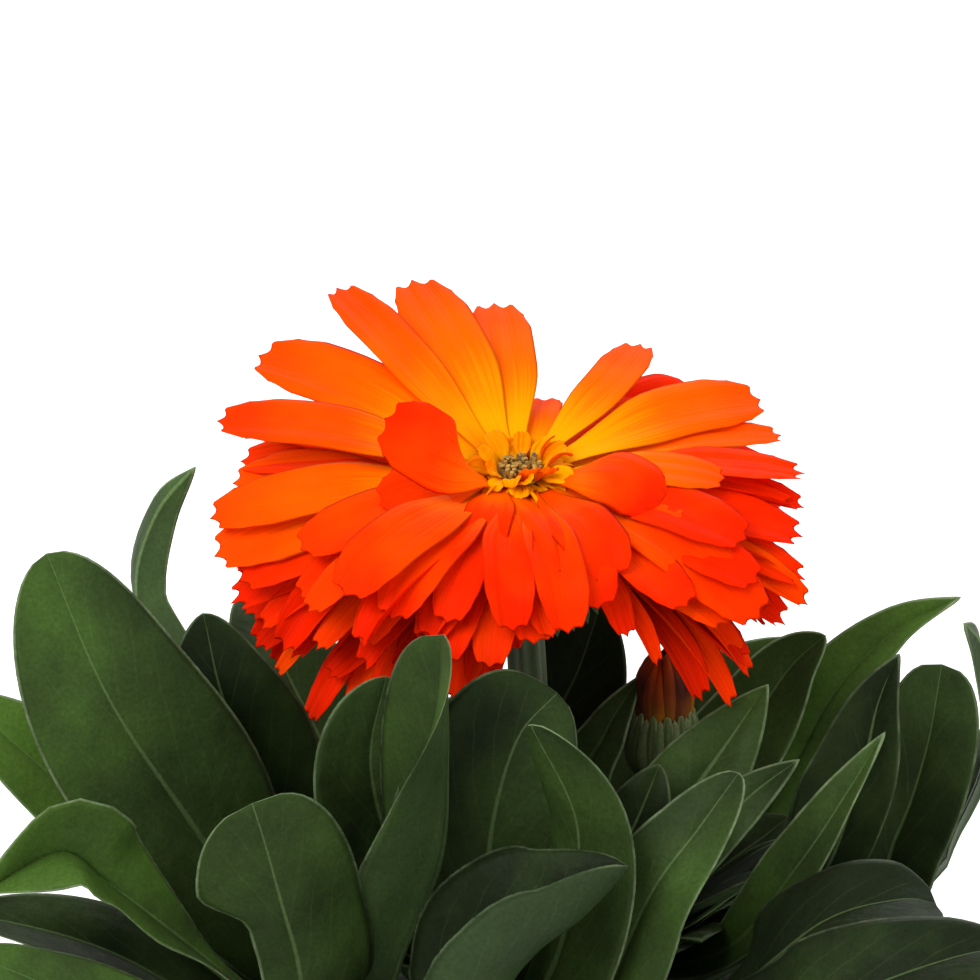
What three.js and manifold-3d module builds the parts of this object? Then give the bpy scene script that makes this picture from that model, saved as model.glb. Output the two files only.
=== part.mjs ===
// Potted pot marigold: a leafy plant with one open double flower and one bud, in a plain plastic pot.
// Millimetres, Z up. The origin is the middle of the pot's underside, and the flower looks towards -Y.

import * as THREE from "three";
import { LoftGeometry } from "three/addons/geometries/LoftGeometry.js";
import { mergeVertices } from "three/addons/utils/BufferGeometryUtils.js";
import Module from "manifold-3d";

const wasm = await Module();
wasm.setup();

// Gap left between two pieces that touch on the real plant.
const GAP = 0.3;

// Pot: a tapered moulded pot with a raised collar and drain holes round its floor.
const POT_BASE_RADIUS = 43;
const POT_WAIST_RADIUS = 55;
const POT_COLLAR_RADIUS = 57.6;
const POT_LIP_RADIUS = 60;
const POT_HEIGHT = 100;
const POT_COLLAR_HEIGHT = 18;
const POT_LIP_HEIGHT = 2.5;
const POT_WALL = 1.6;
const POT_FLOOR = 2.2;
const POT_FOOT_CHAMFER = 1.5;
const POT_EDGE_CHAMFER = 0.6;
const POT_SHOULDER_HEIGHT = 1.4;
const POT_SEGMENTS = 48;
const DRAIN_HOLES = 6;
const DRAIN_HOLE_RADIUS = 4.5;
const DRAIN_CIRCLE_RADIUS = 30;

// Soil: fills the pot up to a watering gap under the rim, and domes a little to the crown. It stands
// clear of the pot's wall, and each hole for a stem is a little wider than the stem.
const SOIL_EDGE_HEIGHT = 88;
const SOIL_DOME = [[40, 89], [20, 90.2], [0, 91]];
const SOIL_WALL_GAP = 0.6;
const SOIL_HOLE_SLACK = 0.4;

// Flower: where its eye is, and how far its face is tipped towards the viewer.
const FLOWER_EYE = [4, 0, 190];
const FLOWER_TILT_DEG = 12;
const RING_INNER_RADIUS = 6.3;
const RING_OUTER_RADIUS = 7.6;
const RING_HEIGHT = 0.8;
const LAYER_STEP = 1.25;
const FLORET_HALF_WIDTH = 4.6;
const FLORET_THICKNESS = 0.5;
const FLORET_ARCH_RATIO = 0.055;
const RECEPTACLE_RADIUS = 6;
const RECEPTACLE_FOOT = -10.6;
const INVOLUCRE_FOOT = -13.2;
const INVOLUCRE_BRACTS = 14;

// Bud: the foot of its green cup.
const BUD_FOOT = [24, 8, 142];
const BUD_RADIUS = 5.2;
const BUD_CUP_HEIGHT = 11;
const BUD_TUFT_HEIGHT = 8;

// Leaves: blades are thin, and their stalks stand clear of the stem by the gap.
const LEAF_THICKNESS = 0.8;
const LEAF_FOOT_HALF_WIDTH = 0.6;
const LEAF_STALK_HALF_WIDTH = 1.2;
const LEAF_STALK_FROM = 0.12;
const LEAF_FOOT_SLACK = 0.6;
const LEAF_BLADE_FROM = 0.35;
const LEAF_FOOT_FOLD = 0.2;
const LEAF_BROADEST = 0.62;
const LEAF_STATIONS = [0, 0.12, 0.24, 0.36, 0.48, 0.6, 0.71, 0.81, 0.9, 0.97, 1];

const LEAF_GREEN = { color: 0x3d6128, roughness: 0.62, metalness: 0 };
const STEM_GREEN = { color: 0x6d8a4a, roughness: 0.6, metalness: 0 };
const FLORET_ORANGE = { color: 0xff5a0a, roughness: 0.5, metalness: 0 };
const DISC_OCHRE = { color: 0xb98f35, roughness: 0.8, metalness: 0 };
const BUD_RUSSET = { color: 0x8a3a1c, roughness: 0.7, metalness: 0 };
const POT_TERRACOTTA = { color: 0xb5653c, roughness: 0.65, metalness: 0 };
const SOIL_BROWN = { color: 0x3a2a1f, roughness: 0.95, metalness: 0 };

const plant = new THREE.Group();
const flowerHead = new THREE.Group();
flowerHead.position.set(...FLOWER_EYE);
flowerHead.rotation.x = THREE.MathUtils.degToRad(FLOWER_TILT_DEG);
const bud = new THREE.Group();
bud.position.set(...BUD_FOOT);
plant.add(flowerHead, bud);

// One closed surface: shared corners are merged, flat triangles are dropped and faces point out.
function closedGeometry(source) {
  const bare = new THREE.BufferGeometry();
  bare.setAttribute("position", source.attributes.position);
  bare.setIndex(source.index);
  const merged = mergeVertices(bare, 1e-4);
  const corners = merged.index.array;
  const kept = [];
  for (let i = 0; i < corners.length; i += 3) {
    const [a, b, c] = [corners[i], corners[i + 1], corners[i + 2]];
    if (a !== b && b !== c && c !== a) {
      kept.push(a, b, c);
    }
  }
  if (signedVolume(merged.attributes.position, kept) < 0) {
    kept.reverse();
  }
  merged.setIndex(kept);
  return merged;
}

function signedVolume(position, corners) {
  const [a, b, c] = [new THREE.Vector3(), new THREE.Vector3(), new THREE.Vector3()];
  let volume = 0;
  for (let i = 0; i < corners.length; i += 3) {
    a.fromBufferAttribute(position, corners[i]);
    b.fromBufferAttribute(position, corners[i + 1]);
    c.fromBufferAttribute(position, corners[i + 2]);
    volume += a.dot(b.cross(c)) / 6;
  }
  return volume;
}

function solidOf(geometry) {
  const closed = closedGeometry(geometry);
  return new wasm.Manifold(new wasm.Mesh({
    numProp: 3,
    vertProperties: new Float32Array(closed.attributes.position.array),
    triVerts: new Uint32Array(closed.index.array),
  }));
}

function geometryOf(solid) {
  const mesh = solid.getMesh();
  const geometry = new THREE.BufferGeometry();
  geometry.setAttribute("position", new THREE.Float32BufferAttribute(mesh.vertProperties, 3));
  geometry.setIndex([...mesh.triVerts]);
  return geometry;
}

function addPiece(parent, name, geometry, finish) {
  const mesh = new THREE.Mesh(geometry, new THREE.MeshStandardMaterial(finish));
  mesh.name = name;
  parent.add(mesh);
  return mesh;
}

// A solid of revolution about Z from [radius, height] pairs that start and end on the axis.
function turned(profile, segments) {
  const points = profile.map(([radius, height]) => new THREE.Vector2(radius, height));
  const lathe = new THREE.LatheGeometry(points, segments);
  lathe.rotateX(Math.PI / 2);
  return closedGeometry(lathe);
}

function vectors(points) {
  return points.map((point) => new THREE.Vector3(...point));
}

function smooth(from, to, value) {
  return THREE.MathUtils.smoothstep(value, from, to);
}

// A round stem that tapers along a smooth curve through its points.
function stemGeometry(points, startRadius, endRadius, steps = 10, sides = 8) {
  const curve = new THREE.CatmullRomCurve3(vectors(points), false, "catmullrom", 0.5);
  const frames = curve.computeFrenetFrames(steps, false);
  const sections = [];
  for (let i = 0; i <= steps; i += 1) {
    const centre = curve.getPointAt(i / steps);
    const radius = THREE.MathUtils.lerp(startRadius, endRadius, i / steps);
    const ring = [];
    for (let j = 0; j < sides; j += 1) {
      const angle = (j / sides) * Math.PI * 2;
      ring.push(centre.clone()
        .addScaledVector(frames.normals[i], Math.cos(angle) * radius)
        .addScaledVector(frames.binormals[i], Math.sin(angle) * radius));
    }
    sections.push(ring);
  }
  return closedGeometry(new LoftGeometry(sections, { capStart: true, capEnd: true }));
}

// Where a blade's half section lies at a distance from its midrib: it starts at one slope and bends
// evenly to another, so it follows an arc.
function arcAcross(distance, halfWidth, startDeg, endDeg) {
  const start = THREE.MathUtils.degToRad(startDeg);
  const bend = THREE.MathUtils.degToRad(endDeg - startDeg);
  const angle = start + (bend * distance) / halfWidth;
  if (Math.abs(bend) < 1e-3) {
    return { out: distance * Math.cos(start), up: distance * Math.sin(start), angle };
  }
  const radius = halfWidth / bend;
  return {
    out: radius * (Math.sin(angle) - Math.sin(start)),
    up: radius * (Math.cos(start) - Math.cos(angle)),
    angle,
  };
}

// The upper side's direction at each station, square to the midrib. From the tip down to where the
// blade begins it follows faceAt, and below that the stalk carries it on without a twist.
function upperSides(blade, alongs) {
  const ups = [];
  for (let i = blade.stations.length - 1; i >= 0; i -= 1) {
    const t = blade.stations[i];
    const wanted = t >= blade.bladeFrom ? blade.faceAt(t) : ups[i + 1].clone();
    ups[i] = wanted.addScaledVector(alongs[i], -wanted.dot(alongs[i])).normalize();
  }
  return ups;
}

// One lens-shaped section of a blade: over the upper side from margin to margin, and back beneath.
function bladeSection(blade, t, centre, along, up) {
  const side = new THREE.Vector3().crossVectors(along, up);
  const halfWidth = blade.width(t);
  const thickness = Math.min(blade.thickness, halfWidth);
  const pointAt = (place, layer) => {
    const [foldDeg, curlDeg] = place < 0 ? blade.left : blade.right;
    const fold = blade.foldAt(t);
    const arc = arcAcross(Math.abs(place) * halfWidth, halfWidth, foldDeg * fold, curlDeg * fold);
    const half = layer * thickness * 0.5 * (1 - place * place);
    return centre.clone()
      .addScaledVector(side, Math.sign(place) * (arc.out - half * Math.sin(arc.angle)))
      .addScaledVector(up, arc.up + half * Math.cos(arc.angle));
  };
  const ring = [];
  for (let i = 0; i < 2 * blade.across; i += 1) {
    const beneath = i > blade.across;
    const place = -1 + (2 * (beneath ? 2 * blade.across - i : i)) / blade.across;
    ring.push(halfWidth > 0 ? pointAt(place, beneath ? -1 : 1) : centre.clone());
  }
  return ring;
}

// Corner numbers of the skin over a blade's sections. The upper and lower sides are split along
// the same diagonals, so that they stay apart where a thin blade twists.
function skinCorners(sections, across) {
  const ringPoints = 2 * across;
  const at = (section, place) => section * ringPoints + ((place + ringPoints) % ringPoints);
  const corners = [];
  for (let s = 0; s < sections - 1; s += 1) {
    for (let i = 0; i < across; i += 1) {
      const [a, b, c, d] = [at(s, i), at(s, i + 1), at(s + 1, i + 1), at(s + 1, i)];
      const [e, f, g, h] = [at(s, -i), at(s, -i - 1), at(s + 1, -i - 1), at(s + 1, -i)];
      corners.push(a, b, c, a, c, d, e, g, f, e, h, g);
    }
  }
  for (let i = 0; i < across; i += 1) {
    const end = sections - 1;
    corners.push(at(0, i), at(0, -i - 1), at(0, i + 1), at(0, i), at(0, -i), at(0, -i - 1));
    corners.push(at(end, i), at(end, i + 1), at(end, -i - 1), at(end, i), at(end, -i - 1), at(end, -i));
  }
  return corners;
}

// A leaf or petal blade, skinned over thin sections along its midrib. faceAt says which way its
// upper side looks at each place of the blade, which begins at bladeFrom. The two slopes of each
// side are the fold at the midrib and the curl at the margin, in degrees, and foldAt is the share
// of them that each place has.
function bladeGeometry(blade) {
  const curve = new THREE.CatmullRomCurve3(blade.rib, false, "catmullrom", 0.5);
  const alongs = blade.stations.map((t) => curve.getTangentAt(t));
  const ups = upperSides(blade, alongs);
  const rings = blade.stations.map((t, i) => bladeSection(blade, t, curve.getPointAt(t), alongs[i], ups[i]));
  const geometry = new THREE.BufferGeometry().setFromPoints(rings.flat());
  geometry.setIndex(skinCorners(rings.length, blade.across));
  return closedGeometry(geometry);
}

function addPot() {
  const floorRadius = POT_BASE_RADIUS - POT_WALL;
  const collarFoot = POT_HEIGHT - POT_COLLAR_HEIGHT;
  const lipFoot = POT_HEIGHT - POT_LIP_HEIGHT;
  const wall = turned([
    [0, 0],
    [POT_BASE_RADIUS - POT_FOOT_CHAMFER, 0],
    [POT_BASE_RADIUS, POT_FOOT_CHAMFER],
    [POT_WAIST_RADIUS, collarFoot],
    [POT_COLLAR_RADIUS, collarFoot + POT_SHOULDER_HEIGHT],
    [POT_COLLAR_RADIUS, lipFoot],
    [POT_LIP_RADIUS, lipFoot + POT_EDGE_CHAMFER],
    [POT_LIP_RADIUS, POT_HEIGHT - POT_EDGE_CHAMFER],
    [POT_LIP_RADIUS - POT_EDGE_CHAMFER, POT_HEIGHT],
    [POT_COLLAR_RADIUS - POT_WALL, POT_HEIGHT],
    [POT_COLLAR_RADIUS - POT_WALL, collarFoot + 2 * POT_SHOULDER_HEIGHT],
    [POT_WAIST_RADIUS - POT_WALL, collarFoot + POT_SHOULDER_HEIGHT],
    [floorRadius, POT_FLOOR],
    [0, POT_FLOOR],
  ], POT_SEGMENTS);
  let solid = solidOf(wall);
  for (let i = 0; i < DRAIN_HOLES; i += 1) {
    const angle = ((i + 0.5) / DRAIN_HOLES) * Math.PI * 2;
    const drill = new THREE.CylinderGeometry(DRAIN_HOLE_RADIUS, DRAIN_HOLE_RADIUS, POT_FLOOR * 3, 16);
    drill.rotateX(Math.PI / 2);
    drill.translate(Math.cos(angle) * DRAIN_CIRCLE_RADIUS, Math.sin(angle) * DRAIN_CIRCLE_RADIUS, 0);
    solid = solid.subtract(solidOf(drill));
  }
  addPiece(plant, "pot", geometryOf(solid), POT_TERRACOTTA);
}

// Stems stand in the soil, each in a hole of its own shape with the gap all round.
const STEMS = {
  main_stem: { points: [[0, 0, 80], [1, 1, 112], [5, 3, 150], [4, 2.85, 176.6]], radii: [3.4, 2.4] },
  left_shoot: { points: [[-6, -4, 80], [-10, -8, 102], [-17, -13, 124]], radii: [2.6, 1.8] },
  right_shoot: { points: [[6, -3, 80], [12, -5, 102], [22, -7, 124]], radii: [2.6, 1.8] },
  front_shoot: { points: [[0, -9, 80], [-1, -15, 102], [-2, -21, 118]], radii: [2.6, 1.8] },
  back_shoot: { points: [[1, 9, 80], [3, 16, 98], [6, 25, 114]], radii: [2.6, 1.8] },
  bud_stem: { points: [[6, 2.4, 116], [15, 6, 128], [23.9, 8, 140.6]], radii: [1.5, 1.5] },
};

function addStems() {
  for (const [name, stem] of Object.entries(STEMS)) {
    addPiece(plant, name, stemGeometry(stem.points, ...stem.radii), STEM_GREEN);
  }
}

function addSoil() {
  const floorRadius = POT_BASE_RADIUS - POT_WALL - SOIL_WALL_GAP;
  const waistRadius = POT_WAIST_RADIUS - POT_WALL - SOIL_WALL_GAP;
  const collarFoot = POT_HEIGHT - POT_COLLAR_HEIGHT;
  let solid = solidOf(turned([
    [0, POT_FLOOR + GAP],
    [floorRadius, POT_FLOOR + GAP],
    [waistRadius, collarFoot],
    [waistRadius, SOIL_EDGE_HEIGHT],
    ...SOIL_DOME,
  ], POT_SEGMENTS));
  for (const { points, radii } of Object.values(STEMS)) {
    const [x, y, z] = points[0];
    const inSoil = z < SOIL_EDGE_HEIGHT;
    if (inSoil) {
      const [startRadius, endRadius] = radii.map((radius) => radius + SOIL_HOLE_SLACK);
      const hole = stemGeometry([[x, y, z - GAP], ...points.slice(1)], startRadius, endRadius);
      solid = solid.subtract(solidOf(hole));
    }
  }
  addPiece(plant, "soil", geometryOf(solid), SOIL_BROWN);
}

// The florets lie in layers, like nested shallow bowls. Each layer has its rise above the flower's
// face at the side, at the back and at the front, in degrees, and its florets' azimuth and reach.
// Azimuth 0 is the viewer's right and 90 the back. The upper layers are placed floret by floret.
const FLORET_LAYERS = [
  { side: 12, back: 22, front: 1, florets: [
    [174, 42], [156, 40], [131, 39], [117, 36], [97, 29], [51, 26], [14, 35], [-27, 36], [-68, 29],
    [247, 28], [212, 34]] },
  { side: 5, back: 14, front: -4, florets: [
    [181, 38], [199, 37], [106, 32], [34, 22], [7, 36], [-12, 38], [-38, 37], [-60, 31], [-86, 33],
    [239, 35], [218, 34]] },
  { side: -2, back: 2, front: -8, florets: [
    [188, 42], [167, 38], [143, 32], [122, 33], [4, 39], [24, 33], [-10, 39], [-28, 40], [-59, 32],
    [-95, 30], [250, 33], [216, 35], [48, 20]] },
  { side: -9, back: -9, front: -12, count: 15, turn: 3, bareBack: true },
  { side: -16, back: -18, front: -15, count: 15, turn: 14, bareBack: true },
  { side: -23, back: -26, front: -18, count: 15, turn: 1, bareBack: false },
  { side: -30, back: -33, front: -21, count: 15, turn: 12, bareBack: false },
  { side: -37, back: -40, front: -26, count: 14, turn: 6, bareBack: false },
];

// Short florets that stand up and curl round the eye: azimuth, reach and rise.
const INNER_FLORETS = [[182, 20, 36], [207, 21, 19], [-17, 20, 22], [76, 13, 34]];

// How far the evenly placed florets reach at each side of the flower, and at the front by layer.
const LEFT_REACH = 42;
const RIGHT_REACH = 39.5;
const BACK_REACH = 37;
const FRONT_REACH = [34, 33, 33, 32, 30, 28, 27, 26];
const BARE_GAP_DEPTH = 0.85;

function layerRise(layer, azimuthDeg) {
  const back = Math.sin(THREE.MathUtils.degToRad(azimuthDeg));
  const end = back > 0 ? layer.back : layer.front;
  return THREE.MathUtils.lerp(layer.side, end, Math.abs(back));
}

// The lower layers go round evenly, a little off true, and are shorter at the front and the back.
function layerFlorets(layer, index) {
  if (layer.florets) {
    return layer.florets;
  }
  const florets = [];
  for (let i = 0; i < layer.count; i += 1) {
    const azimuth = layer.turn + (i * 360) / layer.count + 3 * Math.sin(i * 2.4 + index);
    const back = Math.sin(THREE.MathUtils.degToRad(azimuth));
    const right = Math.cos(THREE.MathUtils.degToRad(azimuth));
    const side = THREE.MathUtils.lerp(LEFT_REACH, RIGHT_REACH, (1 + right) / 2);
    const end = back > 0 ? BACK_REACH : FRONT_REACH[index];
    const reach = THREE.MathUtils.lerp(side, end, back ** 4) + 1.2 * Math.sin(i * 1.7 + index);
    const inGap = back > BARE_GAP_DEPTH && right > 0;
    if (!(layer.bareBack && inGap)) {
      florets.push([azimuth, reach]);
    }
  }
  return florets;
}

function floretGeometry(azimuthDeg, reach, riseDeg, baseHeight) {
  const azimuth = THREE.MathUtils.degToRad(azimuthDeg);
  const rise = THREE.MathUtils.degToRad(riseDeg);
  const outward = new THREE.Vector3(Math.cos(azimuth), Math.sin(azimuth), 0);
  const base = outward.clone().multiplyScalar(RING_INNER_RADIUS + 0.6).setZ(baseHeight);
  const tip = outward.clone().multiplyScalar(reach * Math.cos(rise)).setZ(reach * Math.sin(rise));
  const middle = base.clone().lerp(tip, 0.5);
  middle.z += FLORET_ARCH_RATIO * reach;
  return bladeGeometry({
    rib: [base, middle, tip],
    faceAt: () => new THREE.Vector3(0, 0, 1),
    bladeFrom: 0,
    foldAt: () => 1,
    stations: [0, 0.2, 0.45, 0.7, 0.9, 1],
    width: (t) => FLORET_HALF_WIDTH * (0.3 + 0.7 * smooth(0, 0.6, t)) * (1 - 0.35 * smooth(0.85, 1, t)),
    thickness: FLORET_THICKNESS,
    left: [14, 4],
    right: [14, 4],
    across: 2,
  });
}

function floretLayer(florets, riseOf, baseHeight) {
  let solid = solidOf(ringGeometry(baseHeight));
  for (const [azimuth, reach, rise] of florets) {
    const blade = floretGeometry(azimuth, reach, rise ?? riseOf(azimuth), baseHeight);
    solid = solid.add(solidOf(blade));
  }
  return geometryOf(solid);
}

// The ring that a layer's florets grow from, which sits round the receptacle.
function ringGeometry(height) {
  const half = RING_HEIGHT / 2;
  return turned([
    [RING_INNER_RADIUS, height - half],
    [RING_OUTER_RADIUS, height - half],
    [RING_OUTER_RADIUS, height + half],
    [RING_INNER_RADIUS, height + half],
    [RING_INNER_RADIUS, height - half],
  ], 24);
}

function addFlower() {
  const topRing = -GAP - RING_HEIGHT / 2;
  FLORET_LAYERS.forEach((layer, index) => {
    const height = topRing - index * LAYER_STEP;
    const geometry = floretLayer(layerFlorets(layer, index), (azimuth) => layerRise(layer, azimuth), height);
    addPiece(flowerHead, `ray_florets_${index + 1}`, geometry, FLORET_ORANGE);
  });
  const inner = floretLayer(INNER_FLORETS, null, topRing + LAYER_STEP);
  addPiece(flowerHead, "inner_florets", inner, FLORET_ORANGE);
  addPiece(flowerHead, "disc_florets", turned([
    [0, 0], [RECEPTACLE_RADIUS - 0.3, 0], [RECEPTACLE_RADIUS - 0.1, 0.6], [4.6, 1.7], [2.5, 2.4], [0, 2.6],
  ], 20), DISC_OCHRE);
  addPiece(flowerHead, "receptacle", turned([
    [0, RECEPTACLE_FOOT], [4.6, RECEPTACLE_FOOT], [RECEPTACLE_RADIUS, RECEPTACLE_FOOT + 1.2],
    [RECEPTACLE_RADIUS, -0.8], [0, -GAP],
  ], 20), STEM_GREEN);
  addInvolucre();
}

// The green cup under the florets, with its pointed bracts.
function addInvolucre() {
  const top = RECEPTACLE_FOOT - GAP;
  let solid = solidOf(turned([
    [0, INVOLUCRE_FOOT], [2.6, INVOLUCRE_FOOT], [5.4, top - 0.6], [5.2, top], [0, top],
  ], 20));
  for (let i = 0; i < INVOLUCRE_BRACTS; i += 1) {
    const azimuth = (i / INVOLUCRE_BRACTS) * Math.PI * 2;
    const outward = new THREE.Vector3(Math.cos(azimuth), Math.sin(azimuth), 0);
    const at = (radius, height) => outward.clone().multiplyScalar(radius).setZ(height);
    solid = solid.add(solidOf(bladeGeometry({
      rib: [at(4.2, top - 0.9), at(8.4, top - 3.2), at(12, top - 8.5)],
      faceAt: (t) => new THREE.Vector3(0, 0, 1).lerp(outward, t),
      bladeFrom: 0,
      foldAt: () => 1,
      stations: [0, 0.4, 0.8, 1],
      width: (t) => 1.5 * (1 - 0.7 * t),
      thickness: 0.6,
      left: [10, 10],
      right: [10, 10],
      across: 2,
    })));
  }
  addPiece(flowerHead, "involucre", geometryOf(solid), STEM_GREEN);
}

function addBud() {
  addPiece(bud, "bud_cup", turned([
    [0, 0],
    [1.9, 0],
    [4.2, 2.2],
    [BUD_RADIUS, BUD_CUP_HEIGHT * 0.5],
    [BUD_RADIUS - 0.4, BUD_CUP_HEIGHT * 0.8],
    [4, BUD_CUP_HEIGHT],
    [0, BUD_CUP_HEIGHT],
  ], 16), STEM_GREEN);
  const foot = BUD_CUP_HEIGHT + GAP;
  addPiece(bud, "bud_florets", turned([
    [0, foot],
    [3.6, foot],
    [4.1, foot + BUD_TUFT_HEIGHT * 0.3],
    [3.3, foot + BUD_TUFT_HEIGHT * 0.7],
    [1.4, foot + BUD_TUFT_HEIGHT],
    [0, foot + BUD_TUFT_HEIGHT],
  ], 14), BUD_RUSSET);
}

// Each leaf: the stem it grows from and how far along it, its midrib's points from near the stem to
// the tip, the way its upper side looks at the base and the tip, its half width, and the fold and
// curl of its left and right sides.
const LEAVES = [
  { name: "left_broad", stem: "left_shoot", at: 0.74, half: 13.5,
    rib: [[-26, -23, 128], [-38, -29, 151], [-50, -31, 170], [-58, -26, 187]],
    face: [[0.5, -0.8, 0.5], [0.2, -1, 0.2]], left: [14, 6], right: [14, 2] },
  { name: "left_narrow", stem: "left_shoot", at: 0.72, half: 6.5,
    rib: [[-32, 10, 135], [-45, 14, 159], [-48, 17, 168], [-45, 18, 178], [-41, 15, 185]],
    face: [[0.6, 0.6, 0.4], [0.8, 0.6, 0.1]], left: [25, 15], right: [25, 15] },
  { name: "left_dark", stem: "left_shoot", at: 1, half: 10.5,
    rib: [[-23, -15, 134], [-29, -19, 152], [-35, -23, 167], [-39, -22, 177]],
    face: [[0.5, -0.8, 0.4], [0.3, -0.9, 0.2]], left: [12, 6], right: [12, 6] },
  { name: "left_far", stem: "left_shoot", at: 0.6, half: 11,
    rib: [[-36, -10, 127], [-53, -10, 142], [-64, -12, 154], [-72, -10, 161]],
    face: [[0.5, -0.3, 0.8], [0.4, -0.7, 0.6]], left: [14, 8], right: [14, 8] },
  { name: "left_folded", stem: "left_shoot", at: 0.74, half: 8.5,
    rib: [[-23, -35, 122], [-42, -42, 138], [-54, -45, 152], [-61, -47, 154], [-67, -49, 149]],
    face: [[0.5, -0.3, 0.8], [-0.2, -0.6, 0.7]], left: [18, 10], right: [14, 5] },
  { name: "left_low", stem: "left_shoot", at: 0.5, half: 9.5,
    rib: [[-33, -35, 124], [-50, -39, 136], [-64, -40, 141], [-75, -37, 141]],
    face: [[0.3, -0.2, 0.9], [0.1, -0.3, 0.95]], left: [16, 8], right: [16, 8] },
  { name: "left_lowest", stem: "front_shoot", at: 0.6, half: 10,
    rib: [[-24, -57, 114], [-46, -65, 133], [-61, -66, 141], [-71, -63, 143]],
    face: [[0.3, -0.2, 0.9], [0.1, -0.3, 0.95]], left: [16, 8], right: [16, 8] },
  { name: "front_spoon", stem: "front_shoot", at: 0.81, half: 11.5,
    rib: [[-21, -44, 123], [-28, -51, 145], [-32, -56, 163], [-32, -58, 169]],
    face: [[0.2, -0.8, 0.6], [0, -0.95, 0.3]], left: [14, -10], right: [14, 5] },
  { name: "middle_dark", stem: "front_shoot", at: 1, half: 9.5,
    rib: [[-11, -25, 138], [-16, -28, 158], [-14, -26, 171]],
    face: [[0.3, -0.9, 0.3], [0.3, -0.95, 0.1]], left: [14, 10], right: [14, 10] },
  { name: "middle_folded", stem: "front_shoot", at: 0.9, half: 10.5,
    rib: [[-13, -38, 129], [-7, -40, 150], [-6, -38, 164], [-6, -34, 179]],
    face: [[-0.8, -0.3, 0.4], [-0.8, -0.4, 0.2]], left: [58, 50], right: [40, 30] },
  { name: "middle_broad", stem: "front_shoot", at: 0.97, half: 13,
    rib: [[0, -33, 134], [1, -33, 150], [5, -31, 163], [10, -27, 168]],
    face: [[-0.1, -0.9, 0.3], [0, -0.9, 0.5]], left: [14, 14], right: [20, 50] },
  { name: "middle_right", stem: "front_shoot", at: 0.8, half: 12,
    rib: [[6, -37, 124], [11, -45, 140], [14, -46, 155], [9, -46, 171]],
    face: [[-0.3, -0.9, 0.2], [-0.3, -0.9, 0.2]], left: [14, 10], right: [30, 60] },
  { name: "front_cup", stem: "front_shoot", at: 0.7, half: 13,
    rib: [[-3, -51, 118], [1, -58, 134], [9, -60, 148], [18, -58, 156]],
    face: [[0.2, 0.3, 0.9], [-0.3, -0.1, 0.95]], left: [48, 45], right: [52, 45] },
  { name: "right_round", stem: "right_shoot", at: 0.85, half: 7.5,
    rib: [[16, -42, 128], [22, -48, 148], [28, -46, 157], [33, -42, 163]],
    face: [[-0.3, -0.7, 0.6], [-0.3, -0.85, 0.4]], left: [14, 8], right: [14, 8] },
  { name: "right_mid", stem: "right_shoot", at: 0.95, half: 8,
    rib: [[18, -14, 133], [26, -14, 147], [33, -10, 156], [38, -6, 162]],
    face: [[-0.3, -0.85, 0.4], [-0.3, -0.85, 0.4]], left: [14, 8], right: [14, 8] },
  { name: "right_grey", stem: "right_shoot", at: 0.9, half: 6,
    rib: [[28, -24, 132], [38, -28, 145], [46, -28, 155], [53, -26, 163]],
    face: [[-0.5, -0.5, 0.7], [-0.5, -0.6, 0.6]], left: [20, 20], right: [20, 20] },
  { name: "right_tall", stem: "right_shoot", at: 1, half: 8,
    rib: [[37, -8, 131], [46, -8, 146], [53, -4, 159], [55, -2, 165]],
    face: [[-0.4, -0.8, 0.4], [-0.3, -0.9, 0.2]], left: [14, 8], right: [14, 8] },
  { name: "right_back", stem: "right_shoot", at: 0.68, half: 8,
    rib: [[43, 10, 123], [56, 14, 137], [63, 16, 148], [64, 18, 156]],
    face: [[-0.4, -0.7, 0.5], [-0.2, -0.95, 0.1]], left: [14, 8], right: [14, 8] },
  { name: "right_top", stem: "right_shoot", at: 0.72, half: 7,
    rib: [[40, 20, 135], [49, 25, 149], [57, 27, 157], [66, 25, 163]],
    face: [[-0.2, -0.5, 0.85], [-0.2, -0.5, 0.85]], left: [14, 8], right: [14, 8] },
  { name: "right_behind", stem: "right_shoot", at: 0.88, half: 7.5,
    rib: [[28, 14, 134], [38, 20, 144], [44, 23, 151], [49, 23, 156]],
    face: [[-0.2, -0.8, 0.5], [-0.2, -0.8, 0.5]], left: [14, 8], right: [14, 8] },
  { name: "right_edge", stem: "right_shoot", at: 0.6, half: 7,
    rib: [[58, 20, 119], [66, 26, 127], [71, 30, 139], [69, 27, 154], [66, 20, 161]],
    face: [[-0.7, -0.2, 0.7], [-1, 0.2, 0]], left: [20, 10], right: [20, 10] },
  { name: "right_low", stem: "right_shoot", at: 0.66, half: 9.5,
    rib: [[31, -39, 131], [44, -43, 144], [54, -43, 147], [59, -41, 145]],
    face: [[-0.2, -0.2, 0.95], [0, -0.3, 0.95]], left: [14, 8], right: [14, 8] },
  { name: "right_lowest", stem: "front_shoot", at: 0.58, half: 11,
    rib: [[33, -56, 129], [48, -65, 142], [61, -65, 147], [70, -62, 147]],
    face: [[-0.2, -0.2, 0.95], [0, -0.3, 0.95]], left: [14, 8], right: [14, 8] },
  { name: "under_flower", stem: "main_stem", at: 0.45, half: 7,
    rib: [[7, 12, 146], [11, 16, 156], [14, 19, 165]],
    face: [[-0.1, -0.9, 0.3], [-0.1, -0.9, 0.3]], left: [14, 8], right: [14, 8] },
  { name: "back_upright", stem: "back_shoot", at: 1, half: 11,
    rib: [[4, 34, 120], [0, 45, 132], [-3, 54, 138]],
    face: [[0, -0.6, 0.8], [0, -0.5, 0.9]], left: [16, 8], right: [16, 8] },
  { name: "back_right", stem: "back_shoot", at: 0.85, half: 11,
    rib: [[18, 31, 116], [30, 43, 129], [38, 52, 133]],
    face: [[-0.4, -0.4, 0.8], [-0.3, -0.3, 0.9]], left: [16, 8], right: [16, 8] },
  { name: "back_left", stem: "back_shoot", at: 0.9, half: 12,
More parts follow.
